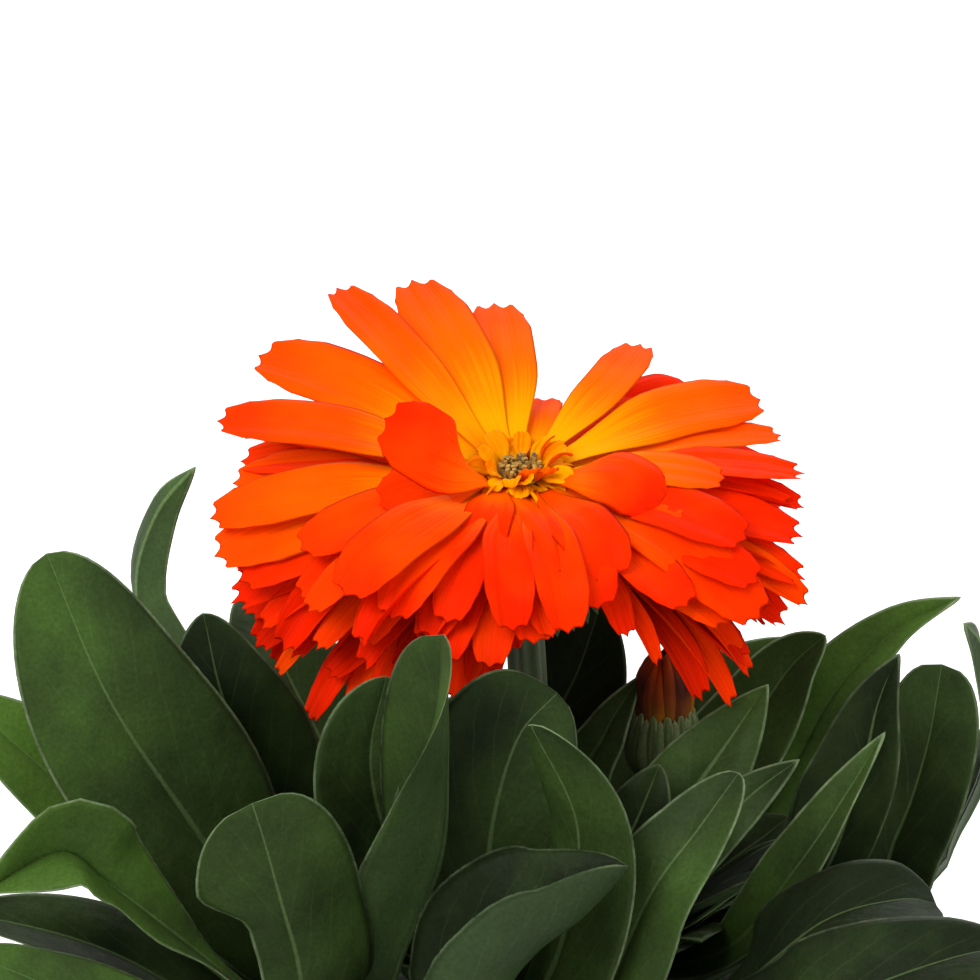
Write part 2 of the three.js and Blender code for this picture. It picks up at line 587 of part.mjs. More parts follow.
    rib: [[-10, 31, 118], [-24, 42, 133], [-34, 50, 139]],
    face: [[0.4, -0.4, 0.8], [0.3, -0.3, 0.9]], left: [16, 8], right: [16, 8] },
  { name: "back_tall_left", stem: "left_shoot", at: 0.95, half: 11,
    rib: [[-19, 13, 134], [-28, 28, 149], [-35, 39, 158]],
    face: [[0.4, -0.6, 0.6], [0.3, -0.5, 0.8]], left: [16, 8], right: [16, 8] },
  { name: "back_tall_right", stem: "back_shoot", at: 0.9, half: 9,
    rib: [[20, 30, 130], [34, 38, 142], [45, 44, 149]],
    face: [[-0.4, -0.6, 0.6], [-0.3, -0.5, 0.8]], left: [16, 8], right: [16, 8] },
  { name: "back_middle", stem: "main_stem", at: 0.3, half: 8,
    rib: [[-4, 16, 128], [-8, 25, 139], [-11, 32, 144]],
    face: [[0.2, -0.6, 0.7], [0.1, -0.5, 0.8]], left: [16, 8], right: [16, 8] },
  { name: "back_low", stem: "back_shoot", at: 0.55, half: 10,
    rib: [[8, 38, 107], [12, 56, 113], [15, 74, 108]],
    face: [[0, -0.3, 0.95], [0, 0.2, 0.95]], left: [16, 8], right: [16, 8] },
  { name: "back_low_left", stem: "back_shoot", at: 0.45, half: 10,
    rib: [[-22, 32, 106], [-42, 50, 112], [-56, 62, 107]],
    face: [[0.2, -0.2, 0.95], [0, 0.2, 0.95]], left: [16, 8], right: [16, 8] },
  { name: "back_low_right", stem: "back_shoot", at: 0.5, half: 10,
    rib: [[28, 28, 106], [48, 42, 112], [64, 53, 107]],
    face: [[-0.2, -0.2, 0.95], [0, 0.2, 0.95]], left: [16, 8], right: [16, 8] },
  { name: "side_low_left", stem: "left_shoot", at: 0.45, half: 10,
    rib: [[-32, 0, 104], [-56, 4, 112], [-77, 6, 108]],
    face: [[0.3, 0, 0.95], [-0.1, 0, 0.95]], left: [16, 8], right: [16, 8] },
  { name: "side_low_right", stem: "right_shoot", at: 0.45, half: 10,
    rib: [[34, 2, 103], [57, 6, 110], [78, 8, 106]],
    face: [[-0.3, 0, 0.95], [0.1, 0, 0.95]], left: [16, 8], right: [16, 8] },
  { name: "front_low_left", stem: "left_shoot", at: 0.4, half: 10,
    rib: [[-24, -30, 103], [-42, -50, 111], [-56, -64, 108]],
    face: [[0.2, 0.2, 0.95], [0, -0.2, 0.95]], left: [16, 8], right: [16, 8] },
  { name: "front_low_right", stem: "right_shoot", at: 0.4, half: 10,
    rib: [[24, -28, 103], [42, -48, 111], [56, -62, 108]],
    face: [[-0.2, 0.2, 0.95], [0, -0.2, 0.95]], left: [16, 8], right: [16, 8] },
  { name: "front_low", stem: "front_shoot", at: 0.46, half: 10,
    rib: [[2, -38, 106], [3, -58, 113], [4, -77, 110]],
    face: [[0, 0.3, 0.95], [0, -0.2, 0.95]], left: [16, 8], right: [16, 8] },
];

// Half a leaf's width: a narrow foot, a stalk that widens into the blade, and a rounded tip.
function leafHalfWidth(half, t) {
  const start = smooth(0, LEAF_STALK_FROM, t);
  const stalk = THREE.MathUtils.lerp(LEAF_FOOT_HALF_WIDTH, LEAF_STALK_HALF_WIDTH, start);
  const body = THREE.MathUtils.lerp(stalk, half, smooth(0, LEAF_BROADEST, t));
  const beyond = Math.max(0, (t - LEAF_BROADEST) / (1 - LEAF_BROADEST));
  return body * Math.sqrt(Math.max(0, 1 - beyond ** 2));
}

// Where a leaf joins its stem, and the way the stem points there.
function leafSeat(leaf) {
  const stem = STEMS[leaf.stem];
  const curve = new THREE.CatmullRomCurve3(vectors(stem.points), false, "catmullrom", 0.5);
  return {
    centre: curve.getPointAt(leaf.at),
    along: curve.getTangentAt(leaf.at),
    radius: THREE.MathUtils.lerp(stem.radii[0], stem.radii[1], leaf.at),
  };
}

// The midrib starts just clear of the stem, on the side that its first point lies.
function leafRib(leaf, seat) {
  const points = vectors(leaf.rib);
  const outward = points[0].clone().sub(seat.centre);
  outward.addScaledVector(seat.along, -outward.dot(seat.along)).normalize();
  const foot = seat.centre.clone().addScaledVector(outward, seat.radius + GAP + LEAF_FOOT_SLACK);
  return [foot, ...points];
}

function leafFaceAt(leaf, t) {
  const [base, tip] = vectors(leaf.face);
  return base.lerp(tip, (t - LEAF_BLADE_FROM) / (1 - LEAF_BLADE_FROM));
}

// A leaf is flat at its foot and takes its full fold as the blade widens.
function leafFoldAt(t) {
  return THREE.MathUtils.lerp(LEAF_FOOT_FOLD, 1, smooth(0, LEAF_BLADE_FROM, t));
}

function addLeaves() {
  for (const leaf of LEAVES) {
    const seat = leafSeat(leaf);
    addPiece(plant, `leaf_${leaf.name}`, bladeGeometry({
      rib: leafRib(leaf, seat),
      faceAt: (t) => leafFaceAt(leaf, t),
      bladeFrom: LEAF_BLADE_FROM,
      foldAt: leafFoldAt,
      stations: LEAF_STATIONS,
      width: (t) => leafHalfWidth(leaf.half, t),
      thickness: LEAF_THICKNESS,
      left: leaf.left,
      right: leaf.right,
      across: 4,
    }), LEAF_GREEN);
  }
}

addPot();
addStems();
addSoil();
addFlower();
addBud();
addLeaves();

export default plant;
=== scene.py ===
"""A pot marigold in a plain pot: one open double flower, a bud, a tuft of spoon-shaped leaves and soil.

The flower looks towards -Y. Sizes are in millimetres, and meshes are made in metres.
"""

import logging
import math
from collections.abc import Callable, Sequence
from dataclasses import dataclass, field
from enum import Enum
from functools import partial

import bmesh
import bpy
import numpy as np
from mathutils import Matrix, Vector


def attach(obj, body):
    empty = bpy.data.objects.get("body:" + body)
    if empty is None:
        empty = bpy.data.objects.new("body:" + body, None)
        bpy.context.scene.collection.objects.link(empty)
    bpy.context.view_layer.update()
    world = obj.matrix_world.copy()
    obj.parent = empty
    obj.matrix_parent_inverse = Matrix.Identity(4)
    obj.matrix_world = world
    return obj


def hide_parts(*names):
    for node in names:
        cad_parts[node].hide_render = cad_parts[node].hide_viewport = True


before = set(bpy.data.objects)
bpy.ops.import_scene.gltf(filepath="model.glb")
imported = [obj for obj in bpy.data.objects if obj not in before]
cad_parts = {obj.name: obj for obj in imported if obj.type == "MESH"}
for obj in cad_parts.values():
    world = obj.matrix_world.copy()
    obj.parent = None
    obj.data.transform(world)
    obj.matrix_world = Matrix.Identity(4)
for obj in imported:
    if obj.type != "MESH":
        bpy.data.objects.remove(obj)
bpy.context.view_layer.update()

LOG = logging.getLogger("marigold")
MM = 0.001
BODY = "root"
BLADE_MAP = "blade"
# Settings that many nodes have, and the span that most of a noise's values lie in.
TIMES = {"operation": "MULTIPLY"}
PLUS = {"operation": "ADD"}
COLOURS = {"data_type": "RGBA"}
VECTORS = {"data_type": "FLOAT_VECTOR"}
SOFTLY = {"interpolation_type": "SMOOTHSTEP"}
NOISE_SPAN = {"From Min": 0.3, "From Max": 0.7}

Point = tuple[float, float, float]
Span = tuple[float, float]
# A fold is a blade's slope in degrees at its midrib, and that at its margin.
Fold = tuple[float, float]
Measure = np.ndarray | float


class Slot(Enum):
    """The material slots, by name."""

    LEAF = "leaf"
    STEM = "stem"
    PETAL = "petal"
    DISC = "disc"
    BUD_PETAL = "bud_petal"
    POT = "pot"
    SOIL = "soil"


class Shade(Enum):
    """How light a leaf's green is painted, as painted light and shade: from the deep green of painted shade
    on an inner leaf to the bright green of a well-lit one.
    """

    INNER = 0.0
    DEEP = 0.2
    PLAIN = 0.42
    LIGHTER = 0.66
    BRIGHT = 0.95


class Tip(Enum):
    """How a leaf's outline closes: the power of the share beyond the broadest place, and that of the rest."""

    ROUND = (2.0, 0.5)
    OVAL = (1.8, 0.62)
    POINTED = (1.5, 0.85)
    BLUNT = (3.4, 0.36)


def smooth(low: float, high: float, value: Measure) -> Measure:
    """Rises evenly from 0 at low to 1 at high.

    Args:
        low: Where the rise starts.
        high: Where it ends.
        value: The place or places to read.

    Returns:
        The height at each place.
    """
    share = np.clip((value - low) / (high - low), 0, 1)
    return share * share * (3 - 2 * share)


def mix(start: Measure, end: Measure, share: Measure) -> Measure:
    """Goes straight from start to end as share goes from 0 to 1."""
    return start + (end - start) * share


def unit(vectors: np.ndarray) -> np.ndarray:
    """Makes each vector of the last axis one long."""
    return vectors / np.maximum(np.linalg.norm(vectors, axis=-1, keepdims=True), 1e-12)


def square_to(vectors: np.ndarray, along: np.ndarray) -> np.ndarray:
    """Turns each vector square to its direction along, and makes it one long."""
    return unit(vectors - np.sum(vectors * along, axis=-1, keepdims=True) * along)


def outward_at(azimuth: float) -> np.ndarray:
    """Gives the level direction at an azimuth in radians, counter-clockwise from +X."""
    return np.array([math.cos(azimuth), math.sin(azimuth), 0.0])


def linear(colour: str) -> tuple[float, float, float, float]:
    """Turns an sRGB hex colour to linear light.

    Args:
        colour: Six hex digits after a hash.

    Returns:
        Red, green, blue and an alpha of 1.
    """
    parts = [int(colour[i:i + 2], 16) / 255 for i in (1, 3, 5)]
    lit = [part / 12.92 if part <= 0.04045 else ((part + 0.055) / 1.055) ** 2.4 for part in parts]
    return (*lit, 1.0)


class Spline:
    """A Catmull-Rom curve through points, read by the share of its length."""

    STEPS = 400
    REACH = 1e-3

    def __init__(self, points: list[Point] | np.ndarray) -> None:
        """Measures the curve, so that it can be read by length.

        Args:
            points: What it runs through.
        """
        self.points = np.array(points, float)
        self._steps = np.linspace(0, 1, self.STEPS + 1)
        walked = self._by_step(self._steps)
        walk = np.linalg.norm(np.diff(walked, axis=0), axis=1)
        self._shares = np.concatenate([[0], np.cumsum(walk)]) / walk.sum()

    def _by_step(self, step: np.ndarray) -> np.ndarray:
        """Reads the curve by its own parameter.

        Args:
            step: The parameter, from 0 to 1.

        Returns:
            The points there.
        """
        first, last = self.points[0], self.points[-1]
        padded = np.vstack([2 * first - self.points[1], self.points, 2 * last - self.points[-2]])
        spans = len(self.points) - 1
        span = np.clip(np.floor(step * spans).astype(int), 0, spans - 1)
        w = (step * spans - span)[..., None]
        a, b, c, d = (padded[span + i] for i in range(4))
        leave, arrive = (c - a) / 2, (d - b) / 2
        cubic = 2 * b - 2 * c + leave + arrive
        curved = 3 * c - 3 * b - 2 * leave - arrive
        return b + w * (leave + w * (curved + w * cubic))

    def at(self, share: Measure) -> np.ndarray:
        """Gives the points at shares of the length."""
        return self._by_step(np.interp(share, self._shares, self._steps))

    def along(self, share: Measure) -> np.ndarray:
        """Gives the curve's direction at shares of the length."""
        share = np.asarray(share, float)
        return unit(self.at(np.minimum(share + self.REACH, 1)) - self.at(np.maximum(share - self.REACH, 0)))


def arc_across(places: np.ndarray, half: np.ndarray, fold: np.ndarray, curl: np.ndarray) -> tuple:
    """Places the points of a half section that leaves the midrib at one slope and bends evenly to another.

    Args:
        places: The share of the half width, from 0 at the midrib to 1 at the margin.
        half: The half width.
        fold: The slope at the midrib, in degrees.
        curl: The slope at the margin, in degrees.

    Returns:
        How far each point is out and up, and its slope in radians.
    """
    start = np.radians(fold)
    bend = np.radians(curl) - start
    bend = np.where(np.abs(bend) < 1e-3, 1e-3, bend)
    slope = start + bend * places
    out = half * (np.sin(slope) - np.sin(start)) / bend
    up = half * (np.cos(start) - np.cos(slope)) / bend
    return out, up, slope


@dataclass
class Blade:
    """A thin closed blade on a grid: stations along its midrib by places across it.

    Its measures may be given as single numbers or columns, which it spreads over the grid.
    """

    rib: Spline
    stations: np.ndarray
    places: np.ndarray
    ups: np.ndarray
    half: Measure
    fold: Measure
    curl: Measure
    over: Measure
    under: Measure
    lift: Measure
    tone: float
    pointed: bool

    def __post_init__(self) -> None:
        """Spreads each measure over the whole grid."""
        grid = (len(self.stations), len(self.places))
        for label in ("stations", "half", "fold", "curl", "over", "under", "lift"):
            setattr(self, label, np.broadcast_to(getattr(self, label), grid))
        self.ups = np.broadcast_to(self.ups, (*grid, 3))

    def surface(self) -> tuple[np.ndarray, np.ndarray]:
        """Lays out the blade's middle surface.

        Returns:
            The grid of points and the grid of directions that its upper side looks in.
        """
        centres, alongs = self.rib.at(self.stations), self.rib.along(self.stations)
        ups = square_to(self.ups, alongs)
        sides = np.cross(alongs, ups) * np.sign(self.places)[None, :, None]
        out, up, slope = arc_across(np.abs(self.places), self.half, self.fold, self.curl)
        looks = ups * np.cos(slope)[..., None] - sides * np.sin(slope)[..., None]
        looks = np.where(self.places[None, :, None] == 0, ups, looks)
        middle = centres + sides * out[..., None] + ups * up[..., None]
        return middle + looks * self.lift[..., None], looks


class BladeMesh:
    """Collects blades, in millimetres, and makes one mesh of them."""

    def __init__(self) -> None:
        """Starts with no blades."""
        self.points: list[np.ndarray] = []
        self.corners: list[list[int]] = []
        self.maps: list[Span] = []
        self.tones: list[np.ndarray] = []
        self.rib_gaps: list[np.ndarray] = []
        self.edge_gaps: list[np.ndarray] = []
        self.undersides: list[float] = []
        self.count = 0

    def add(self, blade: Blade) -> None:
        """Skins one blade over and under. The two sides share the points of its margin.

        Args:
            blade: The blade.
        """
        middle, looks = blade.surface()
        rows, across = middle.shape[:2]
        inner = np.zeros((rows, across), bool)
        inner[1:-1, 1:-1] = True
        over = middle + looks * (blade.over * inner)[..., None]
        under = (middle - looks * blade.under[..., None])[inner]
        upper = np.arange(rows * across).reshape(rows, across)
        if blade.pointed:
            upper[-1] = upper[-1, across // 2]
        lower = upper.copy()
        lower[inner] = rows * across + np.arange(inner.sum())
        maps = np.stack(np.broadcast_arrays((blade.places + 1) / 2, blade.stations), axis=-1)
        self._skin(upper, maps, beneath=False)
        self._skin(lower, maps, beneath=True)
        rib_gap = np.abs(blade.places) * blade.half
        edge_gap = (1 - np.abs(blade.places)) * blade.half
        self.points += [over.reshape(-1, 3), under]
        self.rib_gaps += [rib_gap.ravel(), rib_gap[inner]]
        self.edge_gaps += [edge_gap.ravel(), edge_gap[inner]]
        added = rows * across + int(inner.sum())
        self.tones.append(np.full(added, blade.tone))
        self.count += added

    def _skin(self, ids: np.ndarray, maps: np.ndarray, beneath: bool) -> None:
        """Adds one side's faces, and the place of each corner on the blade.

        Args:
            ids: The grid's point numbers in this blade.
            maps: The grid's places on the blade, across and along.
            beneath: Whether it is the underside.
        """
        ids = ids + self.count
        rows, across = ids.shape
        for i in range(rows - 1):
            for j in range(across - 1):
                ring = [(i, j), (i, j + 1), (i + 1, j + 1), (i + 1, j)]
                if beneath:
                    ring.reverse()
                kept = [spot for n, spot in enumerate(ring) if ids[spot] != ids[ring[n - 1]]]
                self.corners.append([int(ids[spot]) for spot in kept])
                self.maps += [tuple(maps[spot]) for spot in kept]
                self.undersides.append(float(beneath))

    def build(self, name: str, material: bpy.types.Material) -> bpy.types.Object:
        """Makes the object.

        Args:
            name: The piece's name.
            material: What it wears.

        Returns:
            The new object, at the origin.
        """
        points = np.concatenate(self.points) * MM
        piece = mesh_object(name, points, self.corners, material)
        mesh = piece.data
        mesh.uv_layers.new(name=BLADE_MAP).data.foreach_set("uv", np.array(self.maps, np.float32).ravel())
        fields = {"tone": self.tones, "rib_gap": self.rib_gaps, "edge_gap": self.edge_gaps}
        for label, values in fields.items():
            mesh.attributes.new(label, "FLOAT", "POINT").data.foreach_set(
                "value", np.concatenate(values).astype(np.float32))
        mesh.attributes.new("underside", "FLOAT", "FACE").data.foreach_set(
            "value", np.array(self.undersides, np.float32))
        drop_loose(mesh)
        return piece


def drop_loose(mesh: bpy.types.Mesh) -> None:
    """Deletes points that no face uses.

    Args:
        mesh: The mesh to clean.
    """
    used = np.zeros(len(mesh.vertices), bool)
    corners = np.zeros(len(mesh.loops), np.int32)
    mesh.loops.foreach_get("vertex_index", corners)
    used[corners] = True
    if used.all():
        return
    shape = bmesh.new()
    shape.from_mesh(mesh)
    shape.verts.ensure_lookup_table()
    bmesh.ops.delete(shape, geom=[shape.verts[int(i)] for i in np.flatnonzero(~used)], context="VERTS")
    shape.to_mesh(mesh)
    shape.free()


def mesh_object(name: str, points: np.ndarray, faces: list, material: bpy.types.Material) -> bpy.types.Object:
    """Makes a smooth-shaded mesh object at the origin.

    Args:
        name: The piece's name.
        points: Its points, in metres.
        faces: Each face's point numbers.
        material: What it wears.

    Returns:
        The new object, linked to the scene.
    """
    mesh = bpy.data.meshes.new(name)
    mesh.from_pydata(points.tolist(), [], faces)
    mesh.shade_smooth()
    mesh.materials.append(material)
    piece = bpy.data.objects.new(name, mesh)
    bpy.context.scene.collection.objects.link(piece)
    return piece


def ring_faces(rings: int, sides: int, offset: int = 0) -> list[list[int]]:
    """Joins rings of points, the last point to the first of each ring, into quads that look outwards.

    Args:
        rings: How many rings there are, from the lowest to the highest.
        sides: How many points a ring has, counter-clockwise from above.
        offset: The number of the first point.

    Returns:
        The faces' point numbers.
    """
    faces = []
    for i in range(rings - 1):
        for j in range(sides):
            a, b = offset + i * sides + j, offset + i * sides + (j + 1) % sides
            faces.append([a, b, b + sides, a + sides])
    return faces


def closed_faces(rings: int, sides: int) -> list[list[int]]:
    """Joins rings as ring_faces does, and closes them on two more points, the foot's and then the top's.

    Args:
        rings: How many rings there are.
        sides: How many points a ring has.

    Returns:
        The faces' point numbers.
    """
    faces = ring_faces(rings, sides)
    foot, last = rings * sides, (rings - 1) * sides
    for j in range(sides):
        after = (j + 1) % sides
        faces.append([foot, after, j])
        faces.append([foot + 1, last + j, last + after])
    return faces


def hand_over(piece: bpy.types.Object, slot: Slot, *nodes: str) -> None:
    """Seats a finished piece on the object's body and reports it.

    Args:
        piece: The finished piece.
        slot: The slot that its finish belongs to. Not used.
        nodes: The CAD nodes that it stands for.
    """
    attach(piece, BODY)
    if nodes:
        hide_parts(*nodes)
    named = ", ".join(nodes) or "nothing"
    LOG.info("%s: %d faces, stands for %s", piece.name, len(piece.data.polygons), named)


def add_node(tree: bpy.types.NodeTree, kind: str, settings: dict | None = None,
             inputs: dict | None = None) -> bpy.types.Node:
    """Adds a node with its settings and links.

    Args:
        tree: The tree that it goes in.
        kind: The node's type.
        settings: Its own properties.
        inputs: What each input holds, by its name: a value, a socket, or a node whose first output it reads.

    Returns:
        The new node.
    """
    node = tree.nodes.new(kind)
    for label, value in (settings or {}).items():
        setattr(node, label, value)
    for label, value in (inputs or {}).items():
        socket = node.inputs[label] if isinstance(label, int) else next(
            s for s in node.inputs if s.enabled and label in (s.name, s.identifier))
        if isinstance(value, bpy.types.Node):
            value = next(s for s in value.outputs if s.enabled)
        if isinstance(value, bpy.types.NodeSocket):
            tree.links.new(value, socket)
        else:
            socket.default_value = value
    return node


def new_material(name: str) -> tuple[bpy.types.Material, Callable[..., bpy.types.Node]]:
    """Starts a material with an empty tree.

    Args:
        name: The material's name.

    Returns:
        The material, and add_node for its tree.
    """
    material = bpy.data.materials.new(name)
    material.use_nodes = True
    material.node_tree.nodes.clear()
    return material, partial(add_node, material.node_tree)


def noise_scale(size_mm: float) -> float:
    """Gives the Noise scale whose patches are about size_mm across, on Object coordinates in metres."""
    return 1 / (size_mm * MM)


@dataclass(frozen=True)
class LeafTissue:
    """Living leaf: a waxy skin with fine hairs over green tissue, which lets a little light through.

    To the eye it is a dull, finely speckled green that is nowhere quite even, with a paler midrib and margin,
    a foot darkened with painted shade and a greyer underside.
    """

    name: str = "living_leaf_tissue"
    deep: str = "#161f0e"
    plain: str = "#2f411c"
    bright: str = "#466424"
    underside: str = "#445838"
    pale_rib: str = "#62794a"
    pale_edge: str = "#7d8f68"
    glow: str = "#4f7a10"
    green_beneath: float = 0.7
    patch_mm: float = 16.0
    cockle_mm: float = 3.5
    cockle_depth_mm: float = 0.7
    # Real leaf hairs stand about 0.2 mm apart, which is too fine to show, so they are drawn at 0.5 mm.
    hair_mm: float = 0.5
    hair_depth_mm: float = 0.12
    rib_half_mm: float = 0.4
    edge_mm: float = 0.5
    veins: float = 9.0
    vein_slant_per_mm: float = 0.32
    vein_depth_mm: float = 0.35
    vein_fade_mm: Span = (0.8, 5.0)
    roughness: float = 0.5
    specular: float = 0.06
    through: float = 0.16

    def build(self) -> bpy.types.Material:
        """Makes the material.

        Returns:
            The material.
        """
        material, add = new_material(self.name)
        place = add("ShaderNodeTexCoord").outputs["Object"]
        along = add("ShaderNodeSeparateXYZ", inputs={
            "Vector": add("ShaderNodeUVMap", {"uv_map": BLADE_MAP})}).outputs["Y"]
        tone, under, rib_gap, edge_gap = (
            add("ShaderNodeAttribute", {"attribute_name": name}).outputs["Fac"]
            for name in ("tone", "underside", "rib_gap", "edge_gap"))
        patches, hairs, cockle = (
            add("ShaderNodeTexNoise", inputs={
                "Vector": place, "Scale": noise_scale(size_mm), "Detail": detail}).outputs["Fac"]
            for size_mm, detail in ((self.patch_mm, 3.0), (self.hair_mm, 2.0), (self.cockle_mm, 2.0)))

        # The green goes with the leaf's tone, its painted light and shade, and goes a little up and down over
        # its blade.
        uneven = add("ShaderNodeMapRange", inputs={
            **NOISE_SPAN, "Value": patches, "To Min": -0.24, "To Max": 0.24})
        shade = add("ShaderNodeMath", PLUS, {0: tone, 1: uneven})
        low = add("ShaderNodeMapRange", inputs={"Value": shade, "From Max": 0.5})
        high = add("ShaderNodeMapRange", inputs={"Value": shade, "From Min": 0.5})
        green = add("ShaderNodeMix", COLOURS, {
            "Factor": low, "A": linear(self.deep), "B": linear(self.plain)})
        green = add("ShaderNodeMix", COLOURS, {"Factor": high, "A": green, "B": linear(self.bright)})
        beneath = add("ShaderNodeMix", COLOURS, {
            "Factor": self.green_beneath, "A": linear(self.underside), "B": green})
        side = add("ShaderNodeMix", COLOURS, {"Factor": under, "A": green, "B": beneath})

        # Side veins leave the midrib at a slant and fade towards the margin.
        slant = add("ShaderNodeMath", TIMES, {0: rib_gap, 1: self.vein_slant_per_mm})
        spaced = add("ShaderNodeMath", {"operation": "MULTIPLY_ADD"}, {0: along, 1: self.veins, 2: patches})
        course = add("ShaderNodeMath", {"operation": "SUBTRACT"}, {0: spaced, 1: slant})
        wave = add("ShaderNodeMath", {"operation": "PINGPONG"}, {0: course, 1: 0.5})
        line = add("ShaderNodeMapRange", SOFTLY, {
            "Value": wave, "From Min": 0.06, "From Max": 0.0, "To Max": 0.06})
        fade = add("ShaderNodeMapRange", SOFTLY, {
            "Value": edge_gap, "From Min": self.vein_fade_mm[0], "From Max": self.vein_fade_mm[1]})
        vein = add("ShaderNodeMath", TIMES, {0: line, 1: fade})
        veined = add("ShaderNodeMix", COLOURS, {"Factor": vein, "A": side, "B": linear(self.pale_rib)})

        # The midrib narrows from the foot to the tip, and shows more beneath.
        rib_width = add("ShaderNodeMapRange", inputs={
            "Value": along, "From Min": 0.2, "From Max": 0.95,
            "To Min": self.rib_half_mm * 1.6, "To Max": self.rib_half_mm * 0.3})
        rib_share = add("ShaderNodeMath", {"operation": "DIVIDE"}, {0: rib_gap, 1: rib_width})
        rib = add("ShaderNodeMapRange", SOFTLY, {"Value": rib_share, "From Min": 1.2, "From Max": 0.5})
        shown = add("ShaderNodeMapRange", inputs={"Value": under, "To Min": 0.36, "To Max": 0.7})
        rib = add("ShaderNodeMath", TIMES, {0: rib, 1: shown})
        ribbed = add("ShaderNodeMix", COLOURS, {"Factor": rib, "A": veined, "B": linear(self.pale_rib)})

        # The pale margin is worn through in places, and shows less on the leaves in the shade.
        edge = add("ShaderNodeMapRange", SOFTLY, {
            "Value": edge_gap, "From Min": self.edge_mm, "From Max": self.edge_mm * 0.3})
        worn = add("ShaderNodeMapRange", inputs={
            "Value": cockle, "From Min": 0.35, "From Max": 0.65, "To Min": 0.4, "To Max": 1.0})
        pale = add("ShaderNodeMapRange", inputs={
            "Value": tone, "From Max": 0.45, "To Min": 0.3, "To Max": 0.85})
        pale = add("ShaderNodeMath", TIMES, {0: pale, 1: worn})
        edge = add("ShaderNodeMath", TIMES, {0: edge, 1: pale})
        edged = add("ShaderNodeMix", COLOURS, {"Factor": edge, "A": ribbed, "B": linear(self.pale_edge)})

        # The hairs speckle the skin. The lower part of a blade is darkened with painted shade, for the shade
        # inside the tuft.
        speckle = add("ShaderNodeMapRange", inputs={
            **NOISE_SPAN, "Value": hairs, "To Min": 0.86, "To Max": 1.16})
        foot_shade = add("ShaderNodeMapRange", SOFTLY, {
            "Value": along, "From Min": 0.12, "From Max": 0.8, "To Min": 0.3, "To Max": 1.0})
        strength = add("ShaderNodeMath", TIMES, {0: speckle, 1: foot_shade})
        colour = add("ShaderNodeVectorMath", {"operation": "SCALE"}, {0: edged, "Scale": strength})

        fine = add("ShaderNodeBump", inputs={
            "Strength": 0.35, "Distance": self.hair_depth_mm * MM, "Height": hairs})
        broad = add("ShaderNodeBump", inputs={
            "Strength": 0.5, "Distance": self.cockle_depth_mm * MM, "Height": cockle, "Normal": fine})
        sunk = add("ShaderNodeBump", {"invert": True}, {
            "Strength": 0.5, "Distance": self.vein_depth_mm * MM, "Height": vein, "Normal": broad})
        skin = add("ShaderNodeBsdfPrincipled", inputs={
            "Base Color": colour, "Roughness": self.roughness, "Specular IOR Level": self.specular,
            "Normal": sunk})
        lit = add("ShaderNodeMix", COLOURS, {"Factor": 0.5, "A": colour, "B": linear(self.glow)})
        light = add("ShaderNodeBsdfTranslucent", inputs={"Color": lit, "Normal": sunk})
        both = add("ShaderNodeMixShader", inputs={0: self.through, 1: skin, 2: light})
        add("ShaderNodeOutputMaterial", inputs={"Surface": both})
        return material


